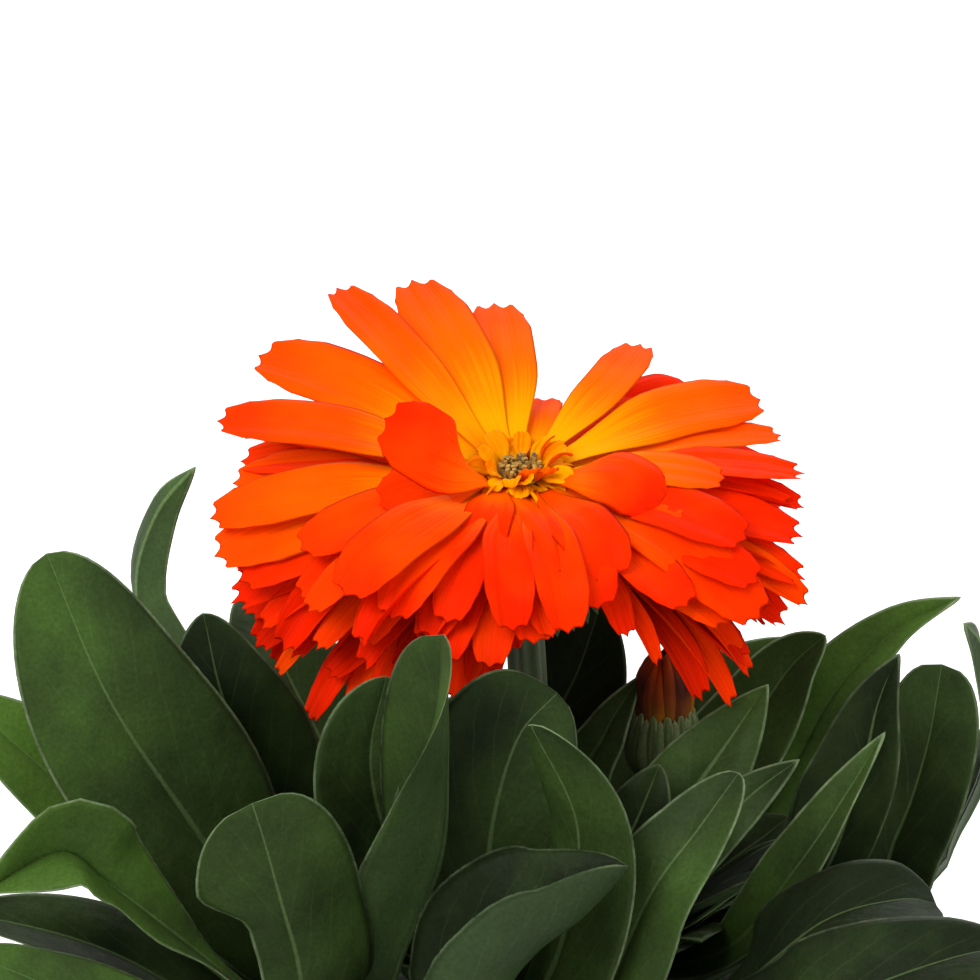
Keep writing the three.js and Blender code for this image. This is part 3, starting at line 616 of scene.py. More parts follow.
@dataclass(frozen=True)
class PetalTissue:
    """Living ray floret: a thin satiny strap with fine lengthwise veins, which lets much light through.

    To the eye even a shaded floret glows. It is yellow at the foot, orange along the strap and redder at the
    toothed tip. A tone of 0 is the red floret and 1 the orange one, up to 2 goes to gold, and below 0 paints
    shade as a deep red at the foot.
    """

    name: str = "living_petal_tissue"
    foot: str = "#ffb000"
    body: str = "#ff6a00"
    tip: str = "#ff5200"
    red_foot: str = "#ff5000"
    red_body: str = "#fd2e00"
    red_tip: str = "#f22400"
    back: str = "#f22000"
    shaded: str = "#9c1200"
    brown_edge: str = "#8e2406"
    # Streaks across a strap of 9 mm: its veins lie about 1.2 mm apart, with finer streaks between them.
    streaks: float = 22.0
    patch_mm: float = 9.0
    vein_depth_mm: float = 0.35
    back_share: float = 0.55
    roughness: float = 0.42
    specular: float = 0.015
    through: float = 0.34
    # It takes each floret's streaks from a place of their own in the noise.
    streak_stride: float = 97.0

    def build(self) -> bpy.types.Material:
        """Makes the material.

        Returns:
            The material.
        """
        material, add = new_material(self.name)
        blade = add("ShaderNodeSeparateXYZ", inputs={"Vector": add("ShaderNodeUVMap", {"uv_map": BLADE_MAP})})
        tone, under, edge_gap = (
            add("ShaderNodeAttribute", {"attribute_name": name}).outputs["Fac"]
            for name in ("tone", "underside", "edge_gap"))
        strap = add("ShaderNodeCombineXYZ", inputs={
            "X": add("ShaderNodeMath", TIMES, {0: blade.outputs["X"], 1: self.streaks}),
            "Y": blade.outputs["Y"],
            "Z": add("ShaderNodeMath", TIMES, {0: tone, 1: self.streak_stride})})
        streak = add("ShaderNodeTexNoise", inputs={
            "Vector": strap, "Scale": 1.0, "Detail": 3.0}).outputs["Fac"]
        patches = add("ShaderNodeTexNoise", inputs={
            "Vector": add("ShaderNodeTexCoord").outputs["Object"], "Scale": noise_scale(self.patch_mm),
            "Detail": 2.0}).outputs["Fac"]

        # The colour runs along the strap, further at some streaks than at others.
        sway = add("ShaderNodeMapRange", inputs={
            **NOISE_SPAN, "Value": streak, "To Min": -0.1, "To Max": 0.1})
        along = add("ShaderNodeMath", PLUS, {0: blade.outputs["Y"], 1: sway})
        start = add("ShaderNodeMapRange", SOFTLY, {"Value": along, "From Min": 0.12, "From Max": 0.58})
        end = add("ShaderNodeMapRange", SOFTLY, {"Value": along, "From Min": 0.5})
        orange, red = (
            add("ShaderNodeMix", COLOURS, {
                "Factor": end, "B": linear(tip),
                "A": add("ShaderNodeMix", COLOURS, {"Factor": start, "A": linear(foot), "B": linear(body)})})
            for foot, body, tip in (
                (self.foot, self.body, self.tip), (self.red_foot, self.red_body, self.red_tip)))
        uneven = add("ShaderNodeMapRange", inputs={
            **NOISE_SPAN, "Value": patches, "To Min": -0.15, "To Max": 0.15})
        share = add("ShaderNodeMath", {"operation": "ADD", "use_clamp": True}, {0: tone, 1: uneven})
        front = add("ShaderNodeMix", COLOURS, {"Factor": share, "A": red, "B": orange})
        gold = add("ShaderNodeMapRange", inputs={"Value": tone, "From Min": 1.0, "From Max": 2.0})
        front = add("ShaderNodeMix", COLOURS, {"Factor": gold, "A": front, "B": linear(self.foot)})

        # Painted shade: the lower florets of the bowl, which lie in the others' shade, are darkened to a deep
        # red at their feet.
        deep = add("ShaderNodeMapRange", inputs={"Value": tone, "From Min": 0.1, "From Max": -0.8})
        inner = add("ShaderNodeMapRange", inputs={
            "Value": along, "From Min": 0.35, "To Min": 1.0, "To Max": 0.3})
        painted_shade = add("ShaderNodeMath", TIMES, {0: deep, 1: inner})
        front = add("ShaderNodeMix", COLOURS, {"Factor": painted_shade, "A": front, "B": linear(self.shaded)})
        behind = add("ShaderNodeMix", COLOURS, {
            "Factor": self.back_share, "A": front, "B": linear(self.back)})
        side = add("ShaderNodeMix", COLOURS, {"Factor": under, "A": front, "B": behind})

        # The teeth and the outer margin have a fine brown edge.
        near_tip = add("ShaderNodeMapRange", SOFTLY, {
            "Value": blade.outputs["Y"], "From Min": 0.975, "From Max": 1.0, "To Max": 0.55})
        margin = add("ShaderNodeMapRange", SOFTLY, {
            "Value": edge_gap, "From Min": 0.3, "From Max": 0.0, "To Max": 0.25})
        rim = add("ShaderNodeMath", {"operation": "MAXIMUM"}, {0: near_tip, 1: margin})
        rimmed = add("ShaderNodeMix", COLOURS, {"Factor": rim, "A": side, "B": linear(self.brown_edge)})
        strength = add("ShaderNodeMapRange", inputs={
            **NOISE_SPAN, "Value": streak, "To Min": 0.84, "To Max": 1.1})
        colour = add("ShaderNodeVectorMath", {"operation": "SCALE"}, {0: rimmed, "Scale": strength})

        veins = add("ShaderNodeBump", inputs={
            "Strength": 0.45, "Distance": self.vein_depth_mm * MM, "Height": streak})
        skin = add("ShaderNodeBsdfPrincipled", inputs={
            "Base Color": colour, "Roughness": self.roughness, "Specular IOR Level": self.specular,
            "Normal": veins})
        light = add("ShaderNodeBsdfTranslucent", inputs={"Color": colour, "Normal": veins})
        both = add("ShaderNodeMixShader", inputs={0: self.through, 1: skin, 2: light})
        add("ShaderNodeOutputMaterial", inputs={"Surface": both})
        return material


@dataclass(frozen=True)
class MottledFinish:
    """A surface whose colour goes unevenly between a dark and a light one, with a fine grain.

    The stretch is how much shorter the pattern's scale is along Z than across, such as for ribs along a stem.
    """

    name: str
    dark: str
    light: str
    mottle_mm: float
    grain_mm: float
    grain_depth_mm: float
    roughness: float
    specular: float = 0.5
    sheen: float = 0.0
    stretch: float = 1.0
    roughness_spread: float = 0.08

    def build(self) -> bpy.types.Material:
        """Makes the material.

        Returns:
            The material.
        """
        material, add = new_material(self.name)
        place = add("ShaderNodeMapping", inputs={
            "Vector": add("ShaderNodeTexCoord").outputs["Object"], "Scale": (1, 1, self.stretch)})
        mottle, grain = (
            add("ShaderNodeTexNoise", inputs={
                "Vector": place, "Scale": noise_scale(size_mm), "Detail": detail}).outputs["Fac"]
            for size_mm, detail in ((self.mottle_mm, 4.0), (self.grain_mm, 3.0)))
        share = add("ShaderNodeMapRange", inputs={"Value": mottle, "From Min": 0.32, "From Max": 0.68})
        colour = add("ShaderNodeMix", COLOURS, {
            "Factor": share, "A": linear(self.dark), "B": linear(self.light)})
        rough = add("ShaderNodeMapRange", inputs={
            **NOISE_SPAN, "Value": grain, "To Min": self.roughness - self.roughness_spread,
            "To Max": self.roughness + self.roughness_spread})
        bump = add("ShaderNodeBump", inputs={
            "Strength": 0.6, "Distance": self.grain_depth_mm * MM, "Height": grain})
        skin = add("ShaderNodeBsdfPrincipled", inputs={
            "Base Color": colour, "Roughness": rough, "Specular IOR Level": self.specular,
            "Sheen Weight": self.sheen, "Normal": bump})
        add("ShaderNodeOutputMaterial", inputs={"Surface": skin})
        return material


# Living stem: juicy green tissue with lengthwise ribs, a thin waxy skin and short hairs. Its greens are
# darkened with painted shade, for stems that stand in the shade of the leaves and the flower.
STEM_TISSUE = MottledFinish("living_stem_tissue", "#2a381d", "#465a2e", 3.0, 0.6, 0.15, 0.55, 0.4, 0.15, 0.15)
# Disc florets: packed tubes, dusty with pollen, some of them withered to brown.
DISC_TISSUE = MottledFinish("dusty_disc_florets", "#4d3718", "#b98a34", 1.1, 0.3, 0.1, 0.8, 0.2, 0.1)
# Injection-moulded polypropylene, coloured terracotta all through: a dull sheen with a fine moulded grain.
POT_PLASTIC = MottledFinish("moulded_polypropylene", "#a9572f", "#b15e36", 14.0, 0.9, 0.06, 0.5, 0.45)
# Peat potting mix: dark, fibrous and quite dull.
PEAT = MottledFinish("peat_potting_mix", "#1a110b", "#4a3423", 2.6, 0.5, 0.5, 0.92, 0.15)


@dataclass(frozen=True)
class Stem:
    """One round stem: the points of its middle line and its radius at the two ends."""

    name: str
    points: tuple[Point, ...]
    radii: Span
    ribs: int = 7
    rib_depth: float = 0.09
    # The ribs fade in from the stem's foot.
    ribbed_from: float = 0.1
    rings: int = 40
    sides: int = 42

    def line(self) -> Spline:
        """Gives the stem's middle line."""
        return Spline(self.points)

    def radius(self, share: Measure) -> Measure:
        """Gives the stem's radius at a share of its length."""
        return mix(self.radii[0], self.radii[1], share)

    def build(self, material: bpy.types.Material) -> bpy.types.Object:
        """Skins the ribbed stem, closed at both ends.

        Args:
            material: What it wears.

        Returns:
            The new object.
        """
        line = self.line()
        shares = np.linspace(0, 1, self.rings)
        centres, alongs = line.at(shares), line.along(shares)
        sides = square_to(np.broadcast_to([1.0, 0.0, 0.0], alongs.shape), alongs)
        backs = np.cross(alongs, sides)
        turns = np.arange(self.sides) / self.sides * math.tau
        depths = self.rib_depth * np.cos(turns * self.ribs)
        ribbed = 1 + depths * smooth(0, self.ribbed_from, shares)[:, None]
        reach = (self.radius(shares)[:, None] * ribbed)[..., None]
        skin = (centres[:, None] + reach * np.cos(turns)[None, :, None] * sides[:, None]
                + reach * np.sin(turns)[None, :, None] * backs[:, None])
        points = np.concatenate([skin.reshape(-1, 3), centres[:1], centres[-1:]])
        return mesh_object(f"{self.name}_skin", points * MM, closed_faces(self.rings, self.sides), material)


STEMS = {stem.name: stem for stem in (
    Stem("main_stem", ((0, 0, 80), (1, 1, 112), (5, 3, 150), (4, 2.85, 176.6)), (3.4, 2.4)),
    Stem("left_shoot", ((-6, -4, 80), (-10, -8, 102), (-17, -13, 124)), (2.6, 1.8)),
    Stem("right_shoot", ((6, -3, 80), (12, -5, 102), (22, -7, 124)), (2.6, 1.8)),
    Stem("front_shoot", ((0, -9, 80), (-1, -15, 102), (-2, -21, 118)), (2.6, 1.8)),
    Stem("back_shoot", ((1, 9, 80), (3, 16, 98), (6, 25, 114)), (2.6, 1.8)),
    Stem("bud_stem", ((6, 2.4, 116), (15, 6, 128), (23.9, 8, 142)), (1.5, 1.5)),
)}


@dataclass(frozen=True)
class Leaf:
    """One spoon-shaped leaf, from its stem to its tip.

    The folds are slopes in degrees, at the midrib and at the margin, and the tip folds are those that the
    blade goes to near its end. The face is where the upper side looks, at the blade's foot and at its tip.
    The blade starts and is broadest at two shares of the length, and the slim share narrows the left half
    below its end.
    """

    name: str
    stem: str
    at: float
    half: float
    rib: tuple[Point, ...]
    face: tuple[Point, Point]
    left: Fold = (14, 8)
    right: Fold = (14, 8)
    left_tip: Fold | None = None
    right_tip: Fold | None = None
    shade: Shade = Shade.PLAIN
    wave: float = 0.5
    waves: float = 1.6
    tip: Tip = Tip.OVAL
    blade: Span = (0.0, 0.62)
    left_slim: float = 1.0


@dataclass(frozen=True)
class LeafGrower:
    """Grows a leaf's blade from its few sizes.

    Shares run along the leaf from its foot to its tip, and a span is where something starts and is whole. The
    stations stand closer towards the tip, and the places across stand closer towards the midrib. The cockle's
    turns are how fast it goes up and down along the blade, aslant and across.
    """

    along: int = 44
    across: int = 23
    tip_crowding: float = 1.35
    rib_crowding: float = 0.6
    rib_power: float = 1.6
    foot_half: float = 0.9
    stalk_half: float = 1.5
    stalk_from: float = 0.12
    blade_from: float = 0.35
    tip_from: float = 0.55
    slims_to: Span = (0.76, 0.87)
    foot_fold: float = 0.2
    stalk_thickness: float = 1.8
    blade_thickness: float = 0.62
    thins: Span = (0.05, 0.5)
    edge_power: float = 0.6
    opens: Span = (0.3, 0.55)
    ripple_power: float = 2.5
    cockle: float = 0.35
    cockle_turns: tuple[float, float, float] = (9, 2, 3.1)
    even_half: float = 6.0
    rib_dip: float = 0.28
    rib_swell: float = 0.5
    rib_width: float = 0.8
    rib_fade: float = 0.8
    tone_play: float = 0.06
    sunk_in_stem: float = 0.8

    def half_width(self, leaf: Leaf, t: np.ndarray) -> np.ndarray:
        """Gives half the leaf's width: a narrow stalk that widens to the blade, and the tip.

        Args:
            leaf: The leaf's sizes.
            t: The shares of its length.

        Returns:
            The half width at each share.
        """
        start, broadest = leaf.blade
        stalk = mix(self.foot_half, self.stalk_half, smooth(0, self.stalk_from, t))
        body = mix(stalk, leaf.half, smooth(start, broadest, t))
        beyond = np.maximum(0, (t - broadest) / (1 - broadest))
        return body * np.maximum(0, 1 - beyond ** leaf.tip.value[0]) ** leaf.tip.value[1]

    def rib_line(self, leaf: Leaf) -> Spline:
        """Draws the midrib, from inside the stem's skin on the side that the leaf grows to.

        Args:
            leaf: The leaf's sizes.

        Returns:
            The midrib.
        """
        stem = STEMS[leaf.stem]
        line = stem.line()
        centre, along = line.at(leaf.at), line.along(leaf.at)
        outward = square_to(np.array(leaf.rib[0], float) - centre, along)
        foot = centre + outward * (stem.radius(leaf.at) - self.sunk_in_stem)
        return Spline(np.vstack([foot, leaf.rib]))

    def ups(self, leaf: Leaf, t: np.ndarray, alongs: np.ndarray) -> np.ndarray:
        """Says where the upper side looks at each station. The stalk carries the blade's side on.

        Args:
            leaf: The leaf's sizes.
            t: The shares of its length.
            alongs: The midrib's directions there.

        Returns:
            One direction for each share.
        """
        base, tip = np.array(leaf.face[0], float), np.array(leaf.face[1], float)
        share = (t - self.blade_from) / (1 - self.blade_from)
        wanted = mix(base[None], tip[None], share[:, None])
        for i in range(len(t) - 2, -1, -1):
            if t[i] < self.blade_from:
                wanted[i] = wanted[i + 1]
            wanted[i] = square_to(wanted[i], alongs[i])
        return wanted

    def grow(self, leaf: Leaf, seed: int) -> Blade:
        """Grows the blade.

        Args:
            leaf: The leaf's sizes.
            seed: What its own unevenness starts from.

        Returns:
            The blade, in millimetres.
        """
        chance = np.random.default_rng(seed)
        shares = 1 - (1 - np.linspace(0, 1, self.along)) ** self.tip_crowding
        t = shares[:, None]
        even = np.linspace(-1, 1, self.across)
        crowded = self.rib_crowding * np.abs(even) ** self.rib_power
        places = np.sign(even) * ((1 - self.rib_crowding) * np.abs(even) + crowded)
        on_left = places < 0
        rib = self.rib_line(leaf)
        slim = mix(leaf.left_slim, 1, smooth(*self.slims_to, t))
        half = self.half_width(leaf, t) * np.where(on_left, slim, 1)
        full = mix(self.foot_fold, 1, smooth(0, self.blade_from, t))
        near_tip = smooth(self.tip_from, 1, t)
        left_end, right_end = leaf.left_tip or leaf.left, leaf.right_tip or leaf.right
        fold, curl = (full * np.where(on_left, mix(leaf.left[n], left_end[n], near_tip),
                                      mix(leaf.right[n], right_end[n], near_tip)) for n in (0, 1))

        # Only the first four phases are used here. The leaf's tone is drawn after all six.
        phase = chance.uniform(0, math.tau, 6)
        opened = smooth(*self.opens, t)
        ripple = np.sin(t * leaf.waves * math.tau + np.where(on_left, phase[0], phase[1]))
        ripple = ripple * np.abs(places) ** self.ripple_power
        down, aslant, across = self.cockle_turns
        cockle = self.cockle * np.sin(t * down + phase[2] + aslant * places)
        cockle = cockle * np.cos(places * across + phase[3]) * (1 - places ** 2)
        lift = opened * (leaf.wave * ripple + cockle) * np.minimum(1, half / self.even_half)
        thick = mix(self.stalk_thickness, self.blade_thickness, smooth(*self.thins, t))
        lens = 0.5 * np.minimum(thick, half) * (1 - places ** 2) ** self.edge_power
        near_rib = np.exp(-((places * half / self.rib_width) ** 2)) * opened * (1 - self.rib_fade * near_tip)
        ups = self.ups(leaf, shares, rib.along(shares))[:, None]
        return Blade(
            rib=rib, stations=t, places=places, ups=ups, half=half, fold=fold, curl=curl,
            over=lens - self.rib_dip * near_rib, under=lens + self.rib_swell * near_rib, lift=lift,
            tone=leaf.shade.value + chance.uniform(-self.tone_play, self.tone_play), pointed=True)


# A leaf folded along its midrib to a shallow channel, the left half like the right.
CHANNEL = ((16, 8), (16, 8))

LEAVES = (
    Leaf("left_broad", "left_shoot", 0.74, 13.2,
         ((-27, -23, 128), (-40, -29, 151), (-51, -31, 170), (-59, -26, 188.5)),
         ((0.5, -0.8, 0.5), (0.2, -1, 0.2)), (14, 6), (14, 2), wave=0.35, tip=Tip.ROUND),
    Leaf("left_narrow", "left_shoot", 0.72, 7,
         ((-33, 10, 135), (-46, 14, 159), (-49, 17, 168), (-46, 18, 178), (-40.5, 15, 186)),
         ((0.6, 0.6, 0.4), (0.8, 0.6, 0.1)), (25, 15), (25, 15), tip=Tip.POINTED),
    Leaf("left_dark", "left_shoot", 1, 10,
         ((-25, -15, 134), (-31, -19, 152), (-36, -23, 167), (-38.5, -22, 178.5)),
         ((0.5, -0.8, 0.4), (0.3, -0.9, 0.2)), (12, 6), (12, 6), shade=Shade.DEEP),
    Leaf("left_far", "left_shoot", 0.6, 10.3,
         ((-36, -10, 127), (-53, -10, 143), (-64, -12, 155), (-72, -10, 162)),
         ((0.5, -0.3, 0.8), (0.4, -0.7, 0.6)), shade=Shade.BRIGHT),
    Leaf("left_folded", "left_shoot", 0.74, 9,
         ((-24, -36, 123), (-42, -43, 141), (-51, -45, 149), (-57, -47, 154), (-67, -51, 150)),
         ((0.4, -0.3, 0.9), (0.2, -0.4, 0.85)), (22, 14), (2, -4), (40, 10), (100, 90), wave=0.8, waves=4.3,
         shade=Shade.LIGHTER, tip=Tip.POINTED, blade=(0.45, 0.87)),
    Leaf("left_low", "left_shoot", 0.5, 9.5,
         ((-33, -35, 124), (-50, -39, 136), (-64, -40, 141), (-75, -37, 141)),
         ((0.3, -0.2, 0.9), (0.1, -0.3, 0.95)), *CHANNEL, shade=Shade.DEEP, tip=Tip.POINTED),
    Leaf("left_lowest", "front_shoot", 0.6, 10,
         ((-24, -57, 114), (-46, -65, 136), (-61, -66, 144.5), (-71, -63, 147)),
         ((0.3, -0.2, 0.9), (0.1, -0.3, 0.95)), *CHANNEL, shade=Shade.LIGHTER),
    Leaf("front_spoon", "front_shoot", 0.81, 11.7,
         ((-21, -44, 123), (-26, -51, 143), (-29.5, -56, 159.5), (-31, -57.5, 165.5)),
         ((0.2, -0.8, 0.6), (0, -0.9, 0.1)), (14, 6), (-12, -26), tip=Tip.BLUNT, left_slim=0.45),
    Leaf("middle_dark", "front_shoot", 1, 9.5,
         ((-11, -25, 138), (-16, -28, 158), (-14, -26, 171)),
         ((0.3, -0.9, 0.3), (0.3, -0.95, 0.1)), (14, 10), (14, 10), shade=Shade.DEEP, tip=Tip.ROUND),
    Leaf("middle_folded", "front_shoot", 0.9, 11.5,
         ((-13, -38, 129), (-7, -40, 150), (-6, -38, 164), (-6, -34, 180)),
         ((-0.8, -0.3, 0.4), (-0.8, -0.4, 0.2)), (26, 18), (84, 84), (26, 16), (36, 10), tip=Tip.BLUNT),
    Leaf("middle_broad", "front_shoot", 0.97, 14,
         ((0, -33, 134), (0, -33, 150), (3.5, -31, 163.5), (9, -27, 169)),
         ((-0.1, -0.9, 0.3), (0, -0.9, 0.5)), (14, 14), (4, -6), shade=Shade.DEEP, tip=Tip.ROUND),
    Leaf("middle_right", "front_shoot", 0.8, 10.2,
         ((4, -37, 124), (9.5, -45, 140), (11.5, -46, 157), (5.5, -46, 172)),
         ((-0.3, -0.9, 0.2), (-0.3, -0.9, 0.2)), (-25, -80), (16, 30), tip=Tip.ROUND),
    Leaf("front_cup", "front_shoot", 0.7, 15.5,
         ((1, -46, 123), (2, -53, 136.5), (6, -56, 144), (12, -57, 149.5), (18, -57, 156.5)),
         ((-0.2, -0.8, 0.5), (-0.2, -0.8, 0.5)), (8, 0), (70, 160), shade=Shade.INNER, blade=(0.38, 0.7)),
    Leaf("right_round", "right_shoot", 0.85, 7.5,
         ((14.5, -42, 128), (21, -48, 148), (27.5, -46, 157), (33, -42, 163.5)),
         ((-0.3, -0.9, 0.35), (-0.3, -0.65, 0.65)), tip=Tip.ROUND),
    Leaf("right_mid", "right_shoot", 0.95, 7,
         ((18, -14, 133), (26, -14, 147), (33, -10, 156), (38, -6, 162)),
         ((-0.3, -0.85, 0.4), (-0.3, -0.85, 0.4)), tip=Tip.POINTED),
    Leaf("right_grey", "right_shoot", 0.9, 5.4,
         ((32, -24, 130), (41.5, -28, 144), (48, -28, 155), (53, -26, 163)),
         ((-0.5, -0.5, 0.7), (-0.5, -0.6, 0.6)), (20, 20), (20, 20), tip=Tip.POINTED),
    Leaf("right_tall", "right_shoot", 1, 8,
         ((43, -8, 131), (50, -7, 146), (53, -4, 158), (56, -2, 165)),
         ((-0.4, -0.8, 0.4), (-0.3, -0.9, 0.2)), (20, 30), (24, 40), shade=Shade.INNER, tip=Tip.POINTED),
    Leaf("right_back", "right_shoot", 0.68, 8,
         ((50, 11, 121), (57, 13, 132), (61, 15, 144), (63, 17, 156)),
         ((-0.4, -0.7, 0.5), (-0.2, -0.95, 0.1)), shade=Shade.DEEP, tip=Tip.BLUNT),
    Leaf("right_top", "right_shoot", 0.72, 7,
         ((40, 20, 135), (49, 25, 149), (57, 27, 157), (66, 25, 163)),
         ((-0.3, -0.65, 0.7), (-0.3, -0.65, 0.7)), (26, 16), (26, 16), shade=Shade.BRIGHT, tip=Tip.POINTED),
    Leaf("right_behind", "right_shoot", 0.88, 7.5,
         ((28, 14, 134), (37, 20, 146), (42, 23, 153), (47, 23, 158)),
         ((-0.3, -0.8, 0.5), (-0.3, -0.8, 0.5))),
    Leaf("right_edge", "right_shoot", 0.6, 7,
         ((58, 20, 119), (66, 26, 127), (71, 30, 139), (69, 27, 154), (66, 20, 161)),
         ((-0.7, -0.2, 0.7), (-1, 0.2, 0)), (20, 10), (20, 10), tip=Tip.POINTED),
    Leaf("right_low", "right_shoot", 0.66, 8.5,
         ((31, -39, 130), (44, -43, 142.5), (54, -43, 145.5), (59.5, -41, 144)),
         ((-0.2, -0.2, 0.95), (0, -0.3, 0.95)), shade=Shade.INNER, tip=Tip.BLUNT),
    Leaf("right_lowest", "front_shoot", 0.58, 12,
         ((33, -56, 129), (48, -65, 142), (61, -65, 147), (70, -62, 147)),
         ((-0.1, -0.65, 0.75), (0, -0.35, 0.95)), shade=Shade.INNER),
    Leaf("under_flower", "main_stem", 0.45, 8.5,
         ((8, 12, 146), (12.5, 16, 156), (15.5, 19, 164.5)),
         ((-0.1, -0.9, 0.3), (-0.1, -0.9, 0.3)), shade=Shade.INNER),
    Leaf("back_upright", "back_shoot", 1, 11,
         ((4, 34, 120), (0, 45, 132), (-3, 54, 138)), ((0, -0.6, 0.8), (0, -0.5, 0.9)), *CHANNEL),
    Leaf("back_right", "back_shoot", 0.85, 11,
         ((18, 31, 116), (30, 43, 129), (38, 52, 133)), ((-0.4, -0.4, 0.8), (-0.3, -0.3, 0.9)), *CHANNEL),
    Leaf("back_left", "back_shoot", 0.9, 12,
         ((-10, 31, 118), (-24, 42, 133), (-34, 50, 139)), ((0.4, -0.4, 0.8), (0.3, -0.3, 0.9)), *CHANNEL),
    Leaf("back_tall_left", "left_shoot", 0.95, 11,
         ((-19, 13, 134), (-28, 28, 149), (-35, 39, 158)), ((0.4, -0.6, 0.6), (0.3, -0.5, 0.8)), *CHANNEL),
    Leaf("back_tall_right", "back_shoot", 0.9, 9,
         ((20, 30, 130), (34, 38, 142), (45, 44, 149)), ((-0.4, -0.6, 0.6), (-0.3, -0.5, 0.8)), *CHANNEL),
    Leaf("back_middle", "main_stem", 0.3, 8,
         ((-4, 16, 128), (-8, 25, 139), (-11, 32, 144)), ((0.2, -0.6, 0.7), (0.1, -0.5, 0.8)), *CHANNEL),
    Leaf("back_low", "back_shoot", 0.55, 10,
         ((8, 38, 107), (12, 56, 113), (15, 74, 108)), ((0, -0.3, 0.95), (0, 0.2, 0.95)), *CHANNEL),
    Leaf("back_low_left", "back_shoot", 0.45, 10,
         ((-22, 32, 106), (-42, 50, 112), (-56, 62, 107)), ((0.2, -0.2, 0.95), (0, 0.2, 0.95)), *CHANNEL),
    Leaf("back_low_right", "back_shoot", 0.5, 10,
         ((28, 28, 106), (48, 42, 112), (64, 53, 107)), ((-0.2, -0.2, 0.95), (0, 0.2, 0.95)), *CHANNEL),
    Leaf("side_low_left", "left_shoot", 0.45, 10,
         ((-32, 0, 104), (-56, 4, 112), (-77, 6, 108)), ((0.3, 0, 0.95), (-0.1, 0, 0.95)), *CHANNEL),
    Leaf("side_low_right", "right_shoot", 0.45, 10,
         ((34, 2, 103), (57, 6, 110), (78, 8, 106)), ((-0.3, 0, 0.95), (0.1, 0, 0.95)), *CHANNEL),
    Leaf("front_low_left", "left_shoot", 0.4, 10,
         ((-24, -30, 103), (-42, -50, 111), (-56, -64, 108)), ((0.2, 0.2, 0.95), (0, -0.2, 0.95)), *CHANNEL),
    Leaf("front_low_right", "right_shoot", 0.4, 10,
         ((24, -28, 103), (42, -48, 111), (56, -62, 108)), ((-0.2, 0.2, 0.95), (0, -0.2, 0.95)), *CHANNEL),
    Leaf("front_low", "front_shoot", 0.46, 10,
         ((2, -38, 106), (3, -58, 113), (4, -77, 110)), ((0, 0.3, 0.95), (0, -0.2, 0.95)), *CHANNEL),
)

# Smaller leaves inside the tuft, which close the gaps between the outer ones. Most wear the INNER green,
# painted shade for the tuft's dark inside.
INNER_LEAVES = (
    Leaf("right_small", "right_shoot", 0.98, 4.5, ((27, -20, 142), (35, -20, 151), (42, -16, 155)),
         ((-0.3, -0.8, 0.4), (-0.3, -0.8, 0.4)), shade=Shade.DEEP, tip=Tip.POINTED),
    Leaf("right_shaded", "right_shoot", 0.93, 6, ((15, -20, 136), (20, -20, 148), (23, -18, 155)),
         ((-0.2, -0.9, 0.3), (-0.2, -0.9, 0.3)), shade=Shade.INNER),
    Leaf("by_the_bud", "right_shoot", 1, 4, ((13, 2, 142), (16, 4, 151), (21, 8, 158)),
         ((-0.2, -0.9, 0.3), (-0.2, -0.9, 0.4)), tip=Tip.POINTED),
    Leaf("left_shaded", "left_shoot", 0.95, 7, ((-28, -15, 121), (-35, -14, 124), (-42, -12, 129)),
         ((0.2, -0.9, 0.4), (0.2, -0.9, 0.4)), shade=Shade.INNER),
)


@dataclass(frozen=True)
class RandomRing:
    """A ring of like inner leaves round a shoot: how many, how steep and how long.

    They fan over the azimuths of facing, in degrees. Each one is a little off true and leans out more towards
    its tip.
    """

    stem: str
    at: float
    count: int
    lean: float
    length: float
    half: float
    facing: Span
    azimuth_play: float = 7.0
    lean_play: float = 6.0
    length_play: Span = (0.88, 1.08)
    lean_along: Span = (0.75, 1.15)

    def leaves(self, seed: int) -> list[Leaf]:
        """Places the ring's leaves.

        Args:
            seed: What their unevenness starts from.

        Returns:
            The leaves.
        """
        chance = np.random.default_rng(seed)
        up = np.array([0.0, 0.0, 1.0])
        centre = STEMS[self.stem].line().at(self.at)
        grown = []
        for i in range(self.count):
            middle = mix(*self.facing, (i + 0.5) / self.count)
            azimuth = math.radians(middle + chance.uniform(-self.azimuth_play, self.azimuth_play))
            lean = math.radians(self.lean + chance.uniform(-self.lean_play, self.lean_play))
            length = self.length * chance.uniform(*self.length_play)
            outward = outward_at(azimuth)
            rib = []
            for share in (0.36, 0.7, 1.0):
                tilt = lean * mix(*self.lean_along, share)
                rib.append(tuple(centre + (outward * math.sin(tilt) + up * math.cos(tilt)) * length * share))
            look = tuple(0.55 * up - 0.8 * outward)
            # Each wears the INNER green, painted shade for the tuft's dark inside.
            grown.append(Leaf(
                f"{self.stem}_inner_{i}", self.stem, self.at, self.half, tuple(rib), (look, look),
                shade=Shade.INNER))
        return grown


@dataclass
class Foliage:
    """All the leaves: one piece for each leaf of the CAD, and one for the small leaves inside the tuft."""

    tissue: LeafTissue = field(default_factory=LeafTissue)
    grower: LeafGrower = field(default_factory=LeafGrower)
    rings: tuple[RandomRing, ...] = (
        RandomRing("left_shoot", 0.8, 6, 42, 36, 7.5, (125, 215)),
        RandomRing("right_shoot", 0.8, 6, 42, 37, 7.5, (-80, 70)),
        RandomRing("front_shoot", 0.85, 6, 34, 24, 7, (200, 340)),
        RandomRing("back_shoot", 0.8, 5, 36, 30, 7.5, (20, 160)),
    )

    def build(self) -> None:
        """Grows every leaf."""
        material = self.tissue.build()
        for number, leaf in enumerate(LEAVES):
            mesh = BladeMesh()
            mesh.add(self.grower.grow(leaf, number))
            hand_over(mesh.build(f"{leaf.name}_leaf", material), Slot.LEAF, f"leaf_{leaf.name}")
        inner = BladeMesh()
        small = list(INNER_LEAVES)
        for number, ring in enumerate(self.rings):
            small += ring.leaves(number)
        for number, leaf in enumerate(small):
            inner.add(self.grower.grow(leaf, len(LEAVES) + number))
        hand_over(inner.build("inner_leaves", material), Slot.LEAF)


